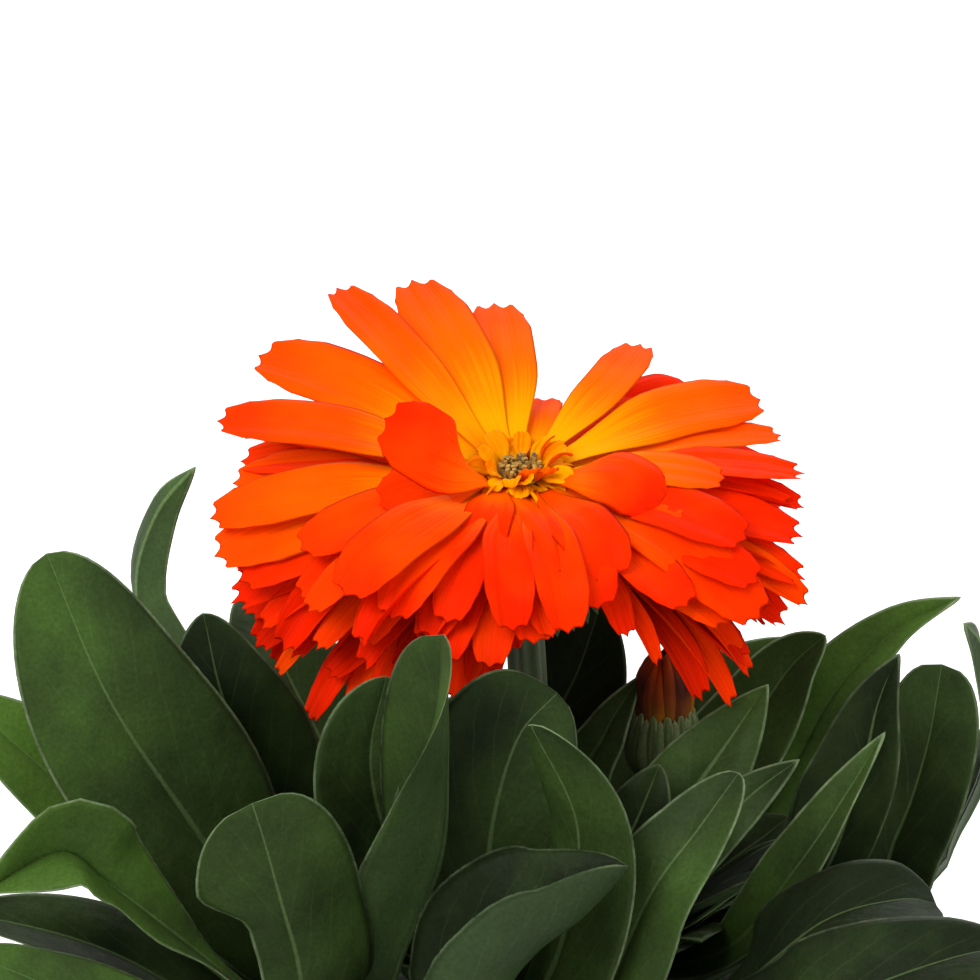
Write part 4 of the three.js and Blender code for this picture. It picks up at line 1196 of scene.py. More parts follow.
@dataclass(frozen=True)
class Floret:
    """One ray floret: where it points and how far it reaches, in the flower's own frame.

    Azimuth 0 is the viewer's right and 90 the back, and the rise is above the flower's face. The twist turns
    the strap about its length, the bow is how much it arches, the curl lifts its tip, the sweep takes its
    middle sideways, and the root is how far round its foot stands. The tone goes from red to orange.
    """

    azimuth: float
    reach: float
    rise: float
    width: float = 9.0
    tone: float = 0.5
    twist: float = 0.0
    bow: float = 1.0
    curl: float = 0.0
    sweep: float = 0.0
    root: float = 0.0
    teeth: float = 1.0
    fold: Fold = (12, 2)


@dataclass(frozen=True)
class RayLayer:
    """One layer of ray florets, like a shallow bowl: some given one by one, and a count that goes round
    evenly.

    The even ones rise by so many degrees at the side, the back and the front. They start at the azimuth turn
    and leave out some stretches.
    """

    side: float
    back: float
    front: float
    tone: float
    florets: tuple[Floret, ...] = ()
    count: int = 0
    turn: float = 0.0
    left_out: tuple[Span, ...] = ()

    def rise(self, azimuth: float) -> float:
        """Gives the rise at an azimuth."""
        back = math.sin(math.radians(azimuth))
        return mix(self.side, self.back if back > 0 else self.front, abs(back))

    def has_room(self, azimuth: float) -> bool:
        """Says whether an evenly placed floret may stand at an azimuth."""
        return not any(start <= azimuth % 360 <= end for start, end in self.left_out)


# Each layer's tone falls towards the bottom of the bowl. Below 0 it paints shade, a deep red at the feet of
# the lower florets.
RAY_LAYERS = (
    RayLayer(12, 16, 1, 0.8, florets=(
        Floret(150, 42, 9, 10.5, 0.85, twist=16),
        Floret(172, 42, 7, 8.5, 0.45, twist=14),
        Floret(131, 40.5, 18, 8, 0.75, sweep=1.0),
        Floret(113, 39.5, 15, 10.2, 0.95, fold=(5, -4), teeth=1.3),
        Floret(95.5, 36.5, 9.5, 9, 1.0, fold=(8, -2), teeth=1.4),
        Floret(59, 33, 7, 7.2, 1.0, fold=(8, 0), sweep=-1.6),
        Floret(30, 38.5, 0.5, 9.5, 1.0, twist=-18, fold=(18, -6)),
        Floret(-3, 28, 1, 7.5, 1.0, twist=-6, fold=(4, -4)),
        Floret(227, 34.5, -3, 9.5, 0.25, twist=8, curl=-1.5),
        Floret(237, 32, -7.5, 8.8, 0.15, curl=-2, teeth=1.2),
        Floret(268, 28, -9, 7.5, 0.04, curl=-3, fold=(16, 30), sweep=-1),
        Floret(-77, 29, -9, 8, 0.08, curl=-3, fold=(16, 34)),
        Floret(-59, 24.5, -4, 9, 0.02, twist=-10, curl=-1.5),
        Floret(-32, 39.5, -15, 10.5, 0.2, twist=-12, bow=1.6),
    )),
    RayLayer(5, 9, -4, 0.6, florets=(
        Floret(106, 30, 9.5, 8, 0.6, teeth=1.4),
        Floret(83, 21, -1, 8, 0.8, bow=1.5, fold=(8, 10), teeth=1.6),
        Floret(50, 31, -4, 7, 0.4, twist=-4),
        Floret(20, 38.5, -2.5, 6.5, 0.9, twist=-4),
        Floret(6, 39.5, -3.4, 7.2, 0.18, twist=-2, teeth=1.7),
        Floret(169, 39, -3.5, 9, 0.36, twist=8),
        Floret(175, 39.5, -5, 8.5, 1.0, twist=14),
        Floret(187, 42.5, -5, 8.5, 0.85, twist=20),
        Floret(221, 38, -8, 6.5, 0.42, curl=-1),
        Floret(-21, 33, -5, 9, 0.0, twist=-12),
        Floret(-67, 27, -8, 9, 0.04, curl=-2),
        Floret(250, 29, -9, 7, 0.0, curl=-2),
        Floret(141, 33, 4, 9, 0.3),
        Floret(206, 33, -5, 9, 0.38, twist=10),
    )),
    RayLayer(-2, 1, -8, 0.45, florets=(
        Floret(2, 38.5, -9, 5.5, 0.1, twist=4, teeth=1.8, fold=(30, 50)),
        Floret(-8, 39.5, -9.5, 8.5, 0.0, twist=-10, teeth=1.6),
        Floret(-14, 41.5, -15, 7, 0.1, twist=-14, teeth=1.6),
        Floret(-17, 43, -18, 7, 0.5, twist=-16, fold=(30, 40)),
        Floret(-28, 37, -10, 8.5, 0.05, twist=-10),
        Floret(-46, 33, -11, 8, 0.05, twist=-6),
        Floret(192, 43, -10, 10, 0.85, twist=22, teeth=1.2),
        Floret(198, 41, -13, 9, 0.14, twist=16),
        Floret(213, 36, -12, 8, 0.2, twist=8),
        Floret(230, 34.5, -16, 7.5, 0.2, curl=-1.5),
        Floret(-86, 28, -14, 7.5, 0.1, curl=-3),
        Floret(246, 30, -14, 7, 0.0, curl=-2),
        Floret(160, 36, -1, 9, 0.25),
        Floret(122, 32, 1, 9, 0.25),
        Floret(38, 30, -6, 7, 0.1),
    )),
    RayLayer(-9, -6, -14, 0.1, florets=(
        Floret(-19, 41.5, -23, 8, 0.05, twist=-14, teeth=1.5, fold=(25, 40)),
        Floret(-37, 37, -16, 9, 0.36, twist=-10, teeth=1.3),
        Floret(195, 43, -19, 8, 0.05, twist=14, teeth=1.7),
        Floret(203, 41, -22, 6.5, 0.15, twist=10, fold=(28, 40)),
        Floret(217, 37, -22, 6, 0.35, curl=-1),
        Floret(262, 31.5, -21, 6.5, 0.2, curl=-1),
        Floret(251, 32.5, -19, 6, 0.0, curl=-1),
        Floret(-57, 28, -18, 5, 0.1, curl=-3),
    ), count=17, turn=3, left_out=((50, 90), (185, 222), (250, 268), (285, 350))),
    RayLayer(-16, -14, -18, -0.1, florets=(
        Floret(-26, 40.5, -31, 5.5, 0.25, curl=-2, fold=(30, 40)),
        Floret(-31, 41.5, -36, 6, 0.3, curl=-2, fold=(25, 40)),
        Floret(-49, 32, -28, 4.2, 0.2, curl=-2, fold=(35, 50)),
        Floret(205, 42.5, -31, 5, 0.85, curl=-1, fold=(25, 30)),
        Floret(213, 43, -37, 6, 0.1, curl=-2),
        Floret(222, 38.5, -37, 6.5, 0.45, curl=-2),
        Floret(230, 37, -35, 6, 0.1, curl=-2),
        Floret(238, 33, -34, 5.5, 0.25, curl=-2),
        Floret(245, 33, -34, 6, 0.0, curl=-2),
        Floret(252, 33, -31, 6.5, 0.15, curl=-2),
        Floret(259, 32, -30, 6, 0.0, curl=-2),
        Floret(266, 26, -26, 6, 0.1, curl=-2),
    ), count=17, turn=14, left_out=((50, 90), (200, 240), (283, 338))),
    RayLayer(-23, -24, -23, -0.35, count=19, turn=1, left_out=((62, 92), (280, 327))),
    RayLayer(-30, -32, -28, -0.6, count=18, turn=12, left_out=((284, 322),)),
    RayLayer(-37, -40, -32, -0.8, count=17, turn=6, left_out=((284, 318),)),
)

# Short florets that stand up round the eye: the broad one on the left faces the viewer.
INNER_RAYS = (
    Floret(202, 24, 35, 10.5, 0.2, root=20, twist=60, fold=(-4, -16), bow=0.4, teeth=1.5, sweep=2),
    Floret(205, 21, 2, 9, 0.22, root=12, twist=24, bow=0.6, teeth=1.7),
    Floret(-22, 20.5, 2, 10.5, 0.1, bow=2.4, twist=-14, fold=(6, -22), curl=-1),
    Floret(284, 22.5, -4, 9, 0.14, root=-35, bow=1.3, fold=(-12, -30)),
    Floret(252, 17, -5, 7, 0.1, root=-12, curl=-1, fold=(10, 20)),
)


@dataclass(frozen=True)
class StrapGrower:
    """Grows the toothed strap of a ray floret from its few sizes.

    Shares run along the strap from its foot to its tip, and a span is where something starts and is whole.
    The teeth and the rounding cut into the end by shares of the length.
    """

    along: int = 20
    across: int = 19
    tip_crowding: float = 1.5
    arch_ratio: float = 0.055
    thickness: float = 0.34
    foot_width: float = 0.32
    broad_from: float = 0.5
    narrowing: float = 0.16
    narrow_from: float = 0.86
    tooth_places: float = 1.6
    tooth_depth: float = 0.028
    rounding: float = 0.085
    cut_from: float = 0.55
    twists: Span = (0.05, 0.6)
    grooves: int = 3
    groove_depth: float = 0.13
    grooved: Span = (0.1, 0.5)
    edge_power: int = 14

    def rib_points(self, floret: Floret, height: float, ring: float) -> np.ndarray:
        """Places the points of the midrib.

        Args:
            floret: The floret's sizes.
            height: How high its foot stands in the flower's frame.
            ring: How far out its foot stands.

        Returns:
            The points in the flower's frame, in millimetres.
        """
        azimuth, rise = math.radians(floret.azimuth), math.radians(floret.rise)
        outward, up = outward_at(azimuth), np.array([0.0, 0.0, 1.0])
        foot = outward_at(azimuth + math.radians(floret.root)) * ring + up * height
        tip = outward * floret.reach * math.cos(rise) + up * floret.reach * math.sin(rise)
        bow = up * (self.arch_ratio * floret.reach * floret.bow)
        sway = outward_at(azimuth + math.pi / 2) * floret.sweep
        return np.array([
            foot, mix(foot, tip, 0.5) + bow + sway, mix(foot, tip, 0.8) + 0.62 * bow + 0.6 * sway,
            tip + up * floret.curl])

    def grow(self, floret: Floret, height: float, ring: float,
             place: Callable[[np.ndarray], np.ndarray]) -> Blade:
        """Grows one strap.

        Args:
            floret: The floret's sizes.
            height: How high its foot stands in the flower's frame.
            ring: How far out its foot stands.
            place: Takes points from the flower's frame to the plant's.

        Returns:
            The blade, in millimetres, in the plant's frame.
        """
        t = 1 - (1 - np.linspace(0, 1, self.along)[:, None]) ** self.tip_crowding
        places = np.linspace(-1, 1, self.across)
        teeth = np.abs(np.sin(math.pi * self.tooth_places * places)) * self.tooth_depth * floret.teeth
        cut = (teeth + self.rounding * np.abs(places) ** 3) * smooth(self.cut_from, 1, t)
        twist = (math.radians(floret.twist) * smooth(*self.twists, t))[..., None]
        aside = outward_at(math.radians(floret.azimuth) + math.pi / 2)
        ups = np.array([0.0, 0.0, 1.0]) * np.cos(twist) + aside * np.sin(twist)
        shape = mix(self.foot_width, 1, smooth(0, self.broad_from, t))
        shape = shape * (1 - self.narrowing * smooth(self.narrow_from, 1, t))
        waves = self.groove_depth * np.cos(places * self.grooves * math.pi) * smooth(*self.grooved, t)
        body = 0.5 * self.thickness * np.sqrt(1 - places ** 2) * (1 - t ** self.edge_power)
        return Blade(
            rib=Spline(place(self.rib_points(floret, height, ring))), stations=t - cut, places=places,
            ups=place(ups) - place(np.zeros(3)), half=floret.width / 2 * shape, fold=floret.fold[0],
            curl=floret.fold[1], over=body, under=body, lift=waves * (1 - places ** 2), tone=floret.tone,
            pointed=False)


@dataclass(frozen=True)
class Bract:
    """One kind of narrow pointed bract or folded petal: its sizes, and its slopes in degrees.

    It is broadest at a share of its length, below which it narrows to its foot.
    """

    half: float
    thickness: float
    along: int
    fold: Fold = (18, 10)
    across: int = 9
    foot_width: float = 0.75
    broadest: float = 0.3
    tip_power: float = 1.6

    def grow(self, rib: np.ndarray, looks: np.ndarray, tone: float) -> Blade:
        """Grows one.

        Args:
            rib: The points of its midrib, in millimetres.
            looks: Where its outer side looks at each of those points.
            tone: How bright its green is, or how orange its petal.

        Returns:
            The blade.
        """
        shares, places = np.linspace(0, 1, self.along), np.linspace(-1, 1, self.across)
        knots = np.linspace(0, 1, len(rib))
        ups = np.stack([np.interp(shares, knots, looks[:, axis]) for axis in range(3)], -1)
        t = shares[:, None]
        beyond = np.clip((t - self.broadest) / (1 - self.broadest), 0, 1)
        shape = mix(self.foot_width, 1, smooth(0, self.broadest, t)) * np.sqrt(1 - beyond ** self.tip_power)
        lens = 0.5 * self.thickness * np.sqrt(1 - places ** 2)
        return Blade(
            rib=Spline(rib), stations=t, places=places, ups=ups[:, None], half=self.half * shape,
            fold=self.fold[0], curl=self.fold[1], over=lens, under=lens, lift=0.0, tone=tone, pointed=True)


@dataclass
class Flower:
    """The open double flower: eight layers of ray florets, the short inner ones, the disc and the green cup.

    The front reach has one length for each layer, from the top one down. The sways are how far an evenly
    placed floret's azimuth and reach go from the even ones.
    """

    eye: Point = (4, 0, 190)
    tilt: float = 12.0
    ring_radius: float = 5.0
    layer_step: float = 1.25
    top_ring: float = 0.3
    left_reach: float = 42.0
    right_reach: float = 39.5
    back_reach: float = 37.0
    front_reach: tuple[float, ...] = (30, 29, 28, 27.5, 26, 24, 23, 22)
    azimuth_sway: float = 3.0
    reach_sway: float = 1.2
    receptacle_radius: float = 6.0
    receptacle_foot: float = -10.6
    core_sides: int = 40
    disc_count: int = 64
    disc_radius: float = 3.0
    # Two rings of gold florets round the disc: how many, how long, how steep and how high their feet stand.
    gold_rings: tuple[tuple[int, Span, Span, float], ...] = (
        (17, (6.0, 8.2), (12, 34), 0.5), (15, (7.2, 9.2), (-6, 8), 0.2))
    bracts: int = 14
    bract: Bract = Bract(1.7, 0.5, 12)
    straps: StrapGrower = field(default_factory=StrapGrower)
    petal: PetalTissue = field(default_factory=PetalTissue)
    leaf: LeafTissue = field(default_factory=lambda: LeafTissue(name="living_bract_tissue"))

    def placed(self, points: np.ndarray) -> np.ndarray:
        """Takes points from the flower's frame to the plant's.

        Args:
            points: The points, in millimetres.

        Returns:
            The same points, tilted and moved to the flower's eye.
        """
        cos, sin = math.cos(math.radians(self.tilt)), math.sin(math.radians(self.tilt))
        x, y, z = points[..., 0], points[..., 1], points[..., 2]
        return np.stack([x, y * cos - z * sin, y * sin + z * cos], -1) + np.array(self.eye)

    def florets_of(self, number: int, layer: RayLayer) -> list[Floret]:
        """Lists one layer's florets, each even one with a twist, a curl and a width of its own.

        Args:
            number: The layer's number, from the top.
            layer: The layer.

        Returns:
            The florets.
        """
        chance = np.random.default_rng(100 + number)
        florets = list(layer.florets)
        for i in range(layer.count):
            azimuth = layer.turn + i * 360 / layer.count + self.azimuth_sway * math.sin(i * 2.4 + number)
            back, right = math.sin(math.radians(azimuth)), math.cos(math.radians(azimuth))
            side = mix(self.left_reach, self.right_reach, (1 + right) / 2)
            end = self.back_reach if back > 0 else self.front_reach[number]
            reach = mix(side, end, back ** 4) + self.reach_sway * math.sin(i * 1.7 + number)
            if layer.has_room(azimuth):
                florets.append(Floret(
                    azimuth, reach, layer.rise(azimuth) + chance.uniform(-2.5, 2.5),
                    width=chance.uniform(5.2, 8.6), twist=chance.uniform(-22, 22),
                    curl=chance.uniform(-3, 0.5), sweep=chance.uniform(-2.2, 2.2),
                    tone=layer.tone + chance.uniform(-0.2, 0.3), teeth=chance.uniform(0.9, 1.8),
                    fold=(chance.uniform(8, 34), chance.uniform(0, 50))))
        return florets

    def gold_florets(self) -> list[tuple[Floret, float]]:
        """Lists the gold florets round the disc.

        Returns:
            Each floret with the height of its foot.
        """
        chance = np.random.default_rng(7)
        florets = []
        for number, (count, reach, rise, height) in enumerate(self.gold_rings):
            for i in range(count):
                azimuth = (i + 0.5 * number) / count * 360 + chance.uniform(-8, 8)
                florets.append((Floret(
                    azimuth, chance.uniform(*reach), chance.uniform(*rise), width=chance.uniform(2.4, 3.8),
                    tone=chance.uniform(1.6, 2), twist=chance.uniform(-30, 30), curl=chance.uniform(-1, 1),
                    fold=(25, 10)), height))
        return florets

    def build(self) -> None:
        """Builds the whole flower."""
        petal = self.petal.build()
        for number, layer in enumerate(RAY_LAYERS):
            mesh = BladeMesh()
            height = self.top_ring - number * self.layer_step
            for floret in self.florets_of(number, layer):
                mesh.add(self.straps.grow(floret, height, self.ring_radius, self.placed))
            hand_over(mesh.build(f"ray_layer_{number + 1}", petal), Slot.PETAL, f"ray_florets_{number + 1}")
        eye = BladeMesh()
        height = self.top_ring + self.layer_step / 2
        for floret in INNER_RAYS:
            eye.add(self.straps.grow(floret, height, self.ring_radius, self.placed))
        for floret, height in self.gold_florets():
            eye.add(self.straps.grow(floret, height, self.disc_radius, self.placed))
        hand_over(eye.build("short_inner_rays", petal), Slot.PETAL, "inner_florets")
        self.build_disc()
        self.build_cup()

    def build_disc(self) -> None:
        """Packs the disc florets in a spiral on a low dome."""
        radius = self.disc_radius
        profile = [(0, -0.6), (radius, -0.6), (radius, 0.3), (2.2, 0.8), (1.1, 1.0), (0, 1.1)]
        dome = turned("disc_of_florets", profile, self.core_sides, DISC_TISSUE.build(), self.placed)
        grow(dome, spiral_tree(), {
            "Count": self.disc_count, "Spread": radius * MM / math.sqrt(self.disc_count),
            "Crown": 0.8 * MM, "Droop": 0.02 / MM, "Radius": 0.34 * MM, "Foot Radius": 0.18 * MM,
            "Length": 1.3 * MM, "Eye": Vector(self.eye) * MM, "Tilt": math.radians(self.tilt),
            "Material": dome.data.materials[0]})
        hand_over(dome, Slot.DISC, "disc_florets")

    def build_cup(self) -> None:
        """Turns the receptacle and lays the green bracts round it."""
        top, radius = self.receptacle_foot, self.receptacle_radius
        profile = [(0, top), (4.6, top), (radius, top + 1.2), (radius, -0.8), (0, -0.3)]
        core = turned("flower_receptacle", profile, self.core_sides, STEM_TISSUE.build(), self.placed)
        hand_over(core, Slot.STEM, "receptacle")
        mesh = BladeMesh()
        for row in range(2):
            line = ((2.0, top - 2.8), (5.4 + row, top - 1.6), (8.6 + row, top - 3.2), (12, top - 8.5))
            for i in range(self.bracts):
                outward = outward_at((i + 0.5 * row) / self.bracts * math.tau)
                rib = stood_round(line, outward)
                looks = self.placed(rib + outward + [0, 0, 1.2]) - self.placed(rib)
                mesh.add(self.bract.grow(self.placed(rib), looks, 0.5))
        hand_over(mesh.build("flower_bracts", self.leaf.build()), Slot.STEM, "involucre")


def stood_round(line: Sequence[Span], outward: np.ndarray) -> np.ndarray:
    """Stands a line of radius and height pairs in the direction outward from the Z axis."""
    return np.array([outward * radius + np.array([0, 0, height]) for radius, height in line])


def turned(name: str, profile: Sequence[Span], sides: int, material: bpy.types.Material,
           place: Callable[[np.ndarray], np.ndarray] | None = None,
           shape: Callable[[np.ndarray], np.ndarray] | None = None) -> bpy.types.Object:
    """Turns a profile about Z into a closed solid.

    Args:
        name: The piece's name.
        profile: Radius and height pairs in millimetres that start and end on the axis, outwards and up.
        sides: How many steps the turn has.
        material: What the solid wears.
        place: Takes the points to the plant's frame, where they aren't there already.
        shape: Moves the points before they are placed, such as to make them uneven.

    Returns:
        The new object.
    """
    turns = np.arange(sides) / sides * math.tau
    rings = [np.stack([radius * np.cos(turns), radius * np.sin(turns), np.full(sides, height)], -1)
             for radius, height in profile[1:-1]]
    foot, top = [0, 0, profile[0][1]], [0, 0, profile[-1][1]]
    points = np.concatenate([*rings, [foot], [top]])
    points = shape(points) if shape else points
    points = place(points) if place else points
    return mesh_object(name, points * MM, closed_faces(len(rings), sides), material)


def new_grower(name: str, sizes: dict[str, str]) -> tuple[bpy.types.NodeTree, bpy.types.Node]:
    """Starts a Geometry Nodes tree with named inputs.

    Args:
        name: The tree's name.
        sizes: The kind of each input besides the geometry and the material, by its name.

    Returns:
        The tree and its input node.
    """
    tree = bpy.data.node_groups.new(name, "GeometryNodeTree")
    tree.interface.new_socket("Geometry", in_out="OUTPUT", socket_type="NodeSocketGeometry")
    for label, kind in {"Geometry": "Geometry", **sizes, "Material": "Material"}.items():
        tree.interface.new_socket(label, in_out="INPUT", socket_type=f"NodeSocket{kind}")
    return tree, add_node(tree, "NodeGroupInput")


def finish_grower(tree: bpy.types.NodeTree, given: bpy.types.Node,
                  grown: bpy.types.Node) -> bpy.types.NodeTree:
    """Ends a tree: joins what it grew to what it was given, makes one mesh of that and dresses it.

    Args:
        tree: The tree.
        given: Its input node.
        grown: The node that gives the instances that it grew.

    Returns:
        The same tree.
    """
    joined = add_node(tree, "GeometryNodeJoinGeometry")
    tree.links.new(given.outputs["Geometry"], joined.inputs[0])
    tree.links.new(grown.outputs[0], joined.inputs[0])
    dressed = add_node(tree, "GeometryNodeSetMaterial", inputs={
        "Geometry": add_node(tree, "GeometryNodeRealizeInstances", inputs={"Geometry": joined}),
        "Material": given.outputs["Material"]})
    add_node(tree, "NodeGroupOutput", inputs={0: dressed})
    return tree


def keep_shape(piece: bpy.types.Object, modifier: bpy.types.Modifier) -> None:
    """Makes a plain mesh of what a modifier gives a piece, and takes the modifier off.

    Args:
        piece: The piece, whose mesh is replaced.
        modifier: Its modifier.
    """
    bpy.context.view_layer.update()
    graph = bpy.context.evaluated_depsgraph_get()
    mesh = bpy.data.meshes.new_from_object(piece.evaluated_get(graph), depsgraph=graph)
    piece.modifiers.remove(modifier)
    piece.data = mesh


def grow(piece: bpy.types.Object, tree: bpy.types.NodeTree, sizes: dict) -> None:
    """Runs a Geometry Nodes tree on a piece and keeps the result as a plain mesh.

    Args:
        piece: The piece, whose mesh is replaced.
        tree: The tree to run.
        sizes: What each named input holds.
    """
    modifier = piece.modifiers.new("grow", "NODES")
    modifier.node_group = tree
    for socket in tree.interface.items_tree:
        if socket.in_out == "INPUT" and socket.name in sizes:
            modifier[socket.identifier] = sizes[socket.name]
    keep_shape(piece, modifier)


def spiral_tree() -> bpy.types.NodeTree:
    """Makes the tree that packs small tubes, which widen upwards, on a dome in a sunflower spiral.

    Returns:
        The tree.
    """
    golden_turn = math.pi * (3 - math.sqrt(5))
    tree, given = new_grower("floret_spiral", {
        "Count": "Int", "Spread": "Float", "Crown": "Float", "Droop": "Float", "Radius": "Float",
        "Foot Radius": "Float", "Length": "Float", "Eye": "Vector", "Tilt": "Float"})
    add = partial(add_node, tree)
    index = add("GeometryNodeInputIndex")
    turn = add("ShaderNodeMath", TIMES, {0: index, 1: golden_turn})
    root = add("ShaderNodeMath", {"operation": "SQRT"}, {0: index})
    reach = add("ShaderNodeMath", TIMES, {0: root, 1: given.outputs["Spread"]})
    x, y = (
        add("ShaderNodeMath", TIMES, {
            0: reach, 1: add("ShaderNodeMath", {"operation": part}, {0: turn})})
        for part in ("COSINE", "SINE"))
    squared = add("ShaderNodeMath", {"operation": "POWER"}, {0: reach, 1: 2.0})
    drop = add("ShaderNodeMath", TIMES, {0: squared, 1: given.outputs["Droop"]})
    z = add("ShaderNodeMath", {"operation": "SUBTRACT"}, {0: given.outputs["Crown"], 1: drop})
    points = add("GeometryNodePoints", inputs={
        "Count": given.outputs["Count"],
        "Position": add("ShaderNodeCombineXYZ", inputs={"X": x, "Y": y, "Z": z})})
    tube = add("GeometryNodeMeshCone", {"fill_type": "TRIANGLE_FAN"}, {
        "Vertices": 6, "Side Segments": 2, "Radius Top": given.outputs["Radius"],
        "Radius Bottom": given.outputs["Foot Radius"], "Depth": given.outputs["Length"]})
    sway = add("FunctionNodeRandomValue", VECTORS, {
        "Min": (-0.35, -0.35, 0.0), "Max": (0.35, 0.35, 6.28), "ID": index, "Seed": 5})
    size = add("FunctionNodeRandomValue", VECTORS, {
        "Min": (0.7, 0.7, 0.7), "Max": (1.2, 1.2, 1.4), "ID": index, "Seed": 8})
    placed = add("GeometryNodeInstanceOnPoints", inputs={
        "Points": points, "Instance": tube.outputs["Mesh"], "Rotation": sway, "Scale": size})
    stood = add("GeometryNodeTransform", inputs={
        "Geometry": placed, "Translation": given.outputs["Eye"],
        "Rotation": add("ShaderNodeCombineXYZ", inputs={"X": given.outputs["Tilt"]})})
    return finish_grower(tree, given, stood)


def crumb_tree() -> bpy.types.NodeTree:
    """Makes the tree that strews crumbs over the faces above a height.

    Returns:
        The tree.
    """
    tree, given = new_grower("soil_crumbs", {
        "Density": "Float", "Radius": "Float", "Lowest": "Float", "Seed": "Int"})
    add = partial(add_node, tree)
    height = add("ShaderNodeSeparateXYZ", inputs={"Vector": add("GeometryNodeInputPosition")})
    spots = add("GeometryNodeDistributePointsOnFaces", inputs={
        "Mesh": given.outputs["Geometry"], "Density": given.outputs["Density"], "Seed": given.outputs["Seed"],
        "Selection": add("FunctionNodeCompare", {"operation": "GREATER_THAN"}, {
            0: height.outputs["Z"], 1: given.outputs["Lowest"]})})
    lump = add("GeometryNodeMeshIcoSphere", inputs={"Radius": given.outputs["Radius"], "Subdivisions": 1})
    turn = add("FunctionNodeRandomValue", VECTORS, {
        "Min": (0.0, 0.0, 0.0), "Max": (6.28, 6.28, 6.28), "Seed": 2})
    size = add("FunctionNodeRandomValue", VECTORS, {
        "Min": (0.3, 0.3, 0.25), "Max": (1.5, 1.2, 0.9), "Seed": 3})
    placed = add("GeometryNodeInstanceOnPoints", inputs={
        "Points": spots.outputs["Points"], "Instance": lump.outputs["Mesh"], "Rotation": turn, "Scale": size})
    return finish_grower(tree, given, placed)


@dataclass
class Bud:
    """The closed bud: its green striped bracts and the red-brown petals folded above them.

    Each line is the radius and height pairs of a midrib, up from the bud's foot. The bracts stand in two
    rows, the second a little further out and lower.
    """

    foot: Point = (24, 8, 142)
    bracts: int = 13
    bract_line: tuple[Span, ...] = ((1.2, 0.2), (4.3, 2.4), (5.2, 5.6), (4.7, 9.0), (3.9, 11.6))
    bract: Bract = Bract(1.45, 0.5, 16, (-12, -24))
    row_gap: float = 0.12
    row_heights: Span = (1.0, 0.93)
    petals: int = 16
    petal_line: tuple[Span, ...] = ((3.2, 8.0), (4.2, 12.5), (3.3, 16.6), (1.2, 19.0))
    petal: Bract = Bract(1.15, 0.35, 16, (-12, -24))
    inner_row: float = 0.8
    height_play: float = 0.05
    green: LeafTissue = field(default_factory=lambda: LeafTissue(
        name="living_bud_bract_tissue", deep="#333f1e", plain="#566440", bright="#6c7a48",
        pale_edge="#8c9464", rib_half_mm=0.2))
    brown: PetalTissue = field(default_factory=lambda: PetalTissue(
        name="folded_bud_petal_tissue", red_foot="#42291d", red_body="#3d221a", red_tip="#53291c",
        back="#34201a", through=0.15))

    def build(self) -> None:
        """Builds the cup with its bracts, and the tuft of petals."""
        cup = BladeMesh()
        for row, share in enumerate(self.row_heights):
            line = [(radius + self.row_gap * row, height * share) for radius, height in self.bract_line]
            for i in range(self.bracts):
                self.lay(cup, self.bract, line, (i + 0.5 * row) / self.bracts, 0.35 + 0.3 * row)
        hand_over(cup.build("bud_bracts", self.green.build()), Slot.STEM, "bud_cup")
        tuft = BladeMesh()
        low = self.petal_line[0][1]
        for row in range(2):
            for i in range(self.petals):
                reach = 1 + self.height_play * math.sin(i * 2.1 + row)
                line = [(radius * mix(self.inner_row, 1, row), mix(low, height, reach))
                        for radius, height in self.petal_line]
                tone = 0.15 + 0.1 * math.sin(i * 1.3)
                self.lay(tuft, self.petal, line, (i + 0.5 * row) / self.petals, tone)
        hand_over(tuft.build("bud_petals", self.brown.build()), Slot.BUD_PETAL, "bud_florets")

    def lay(self, mesh: BladeMesh, kind: Bract, line: list[Span], turn: float, tone: float) -> None:
        """Lays one bract or petal against the bud.

        Args:
            mesh: Where it goes.
            kind: Which kind it is.
            line: Radius and height pairs that its midrib runs through.
            turn: Its place round the bud, as a share of the whole turn.
            tone: How bright it is.
        """
        outward = outward_at(turn * math.tau)
        rib = stood_round(line, outward)
        mesh.add(kind.grow(rib + np.array(self.foot), np.broadcast_to(outward, rib.shape), tone))


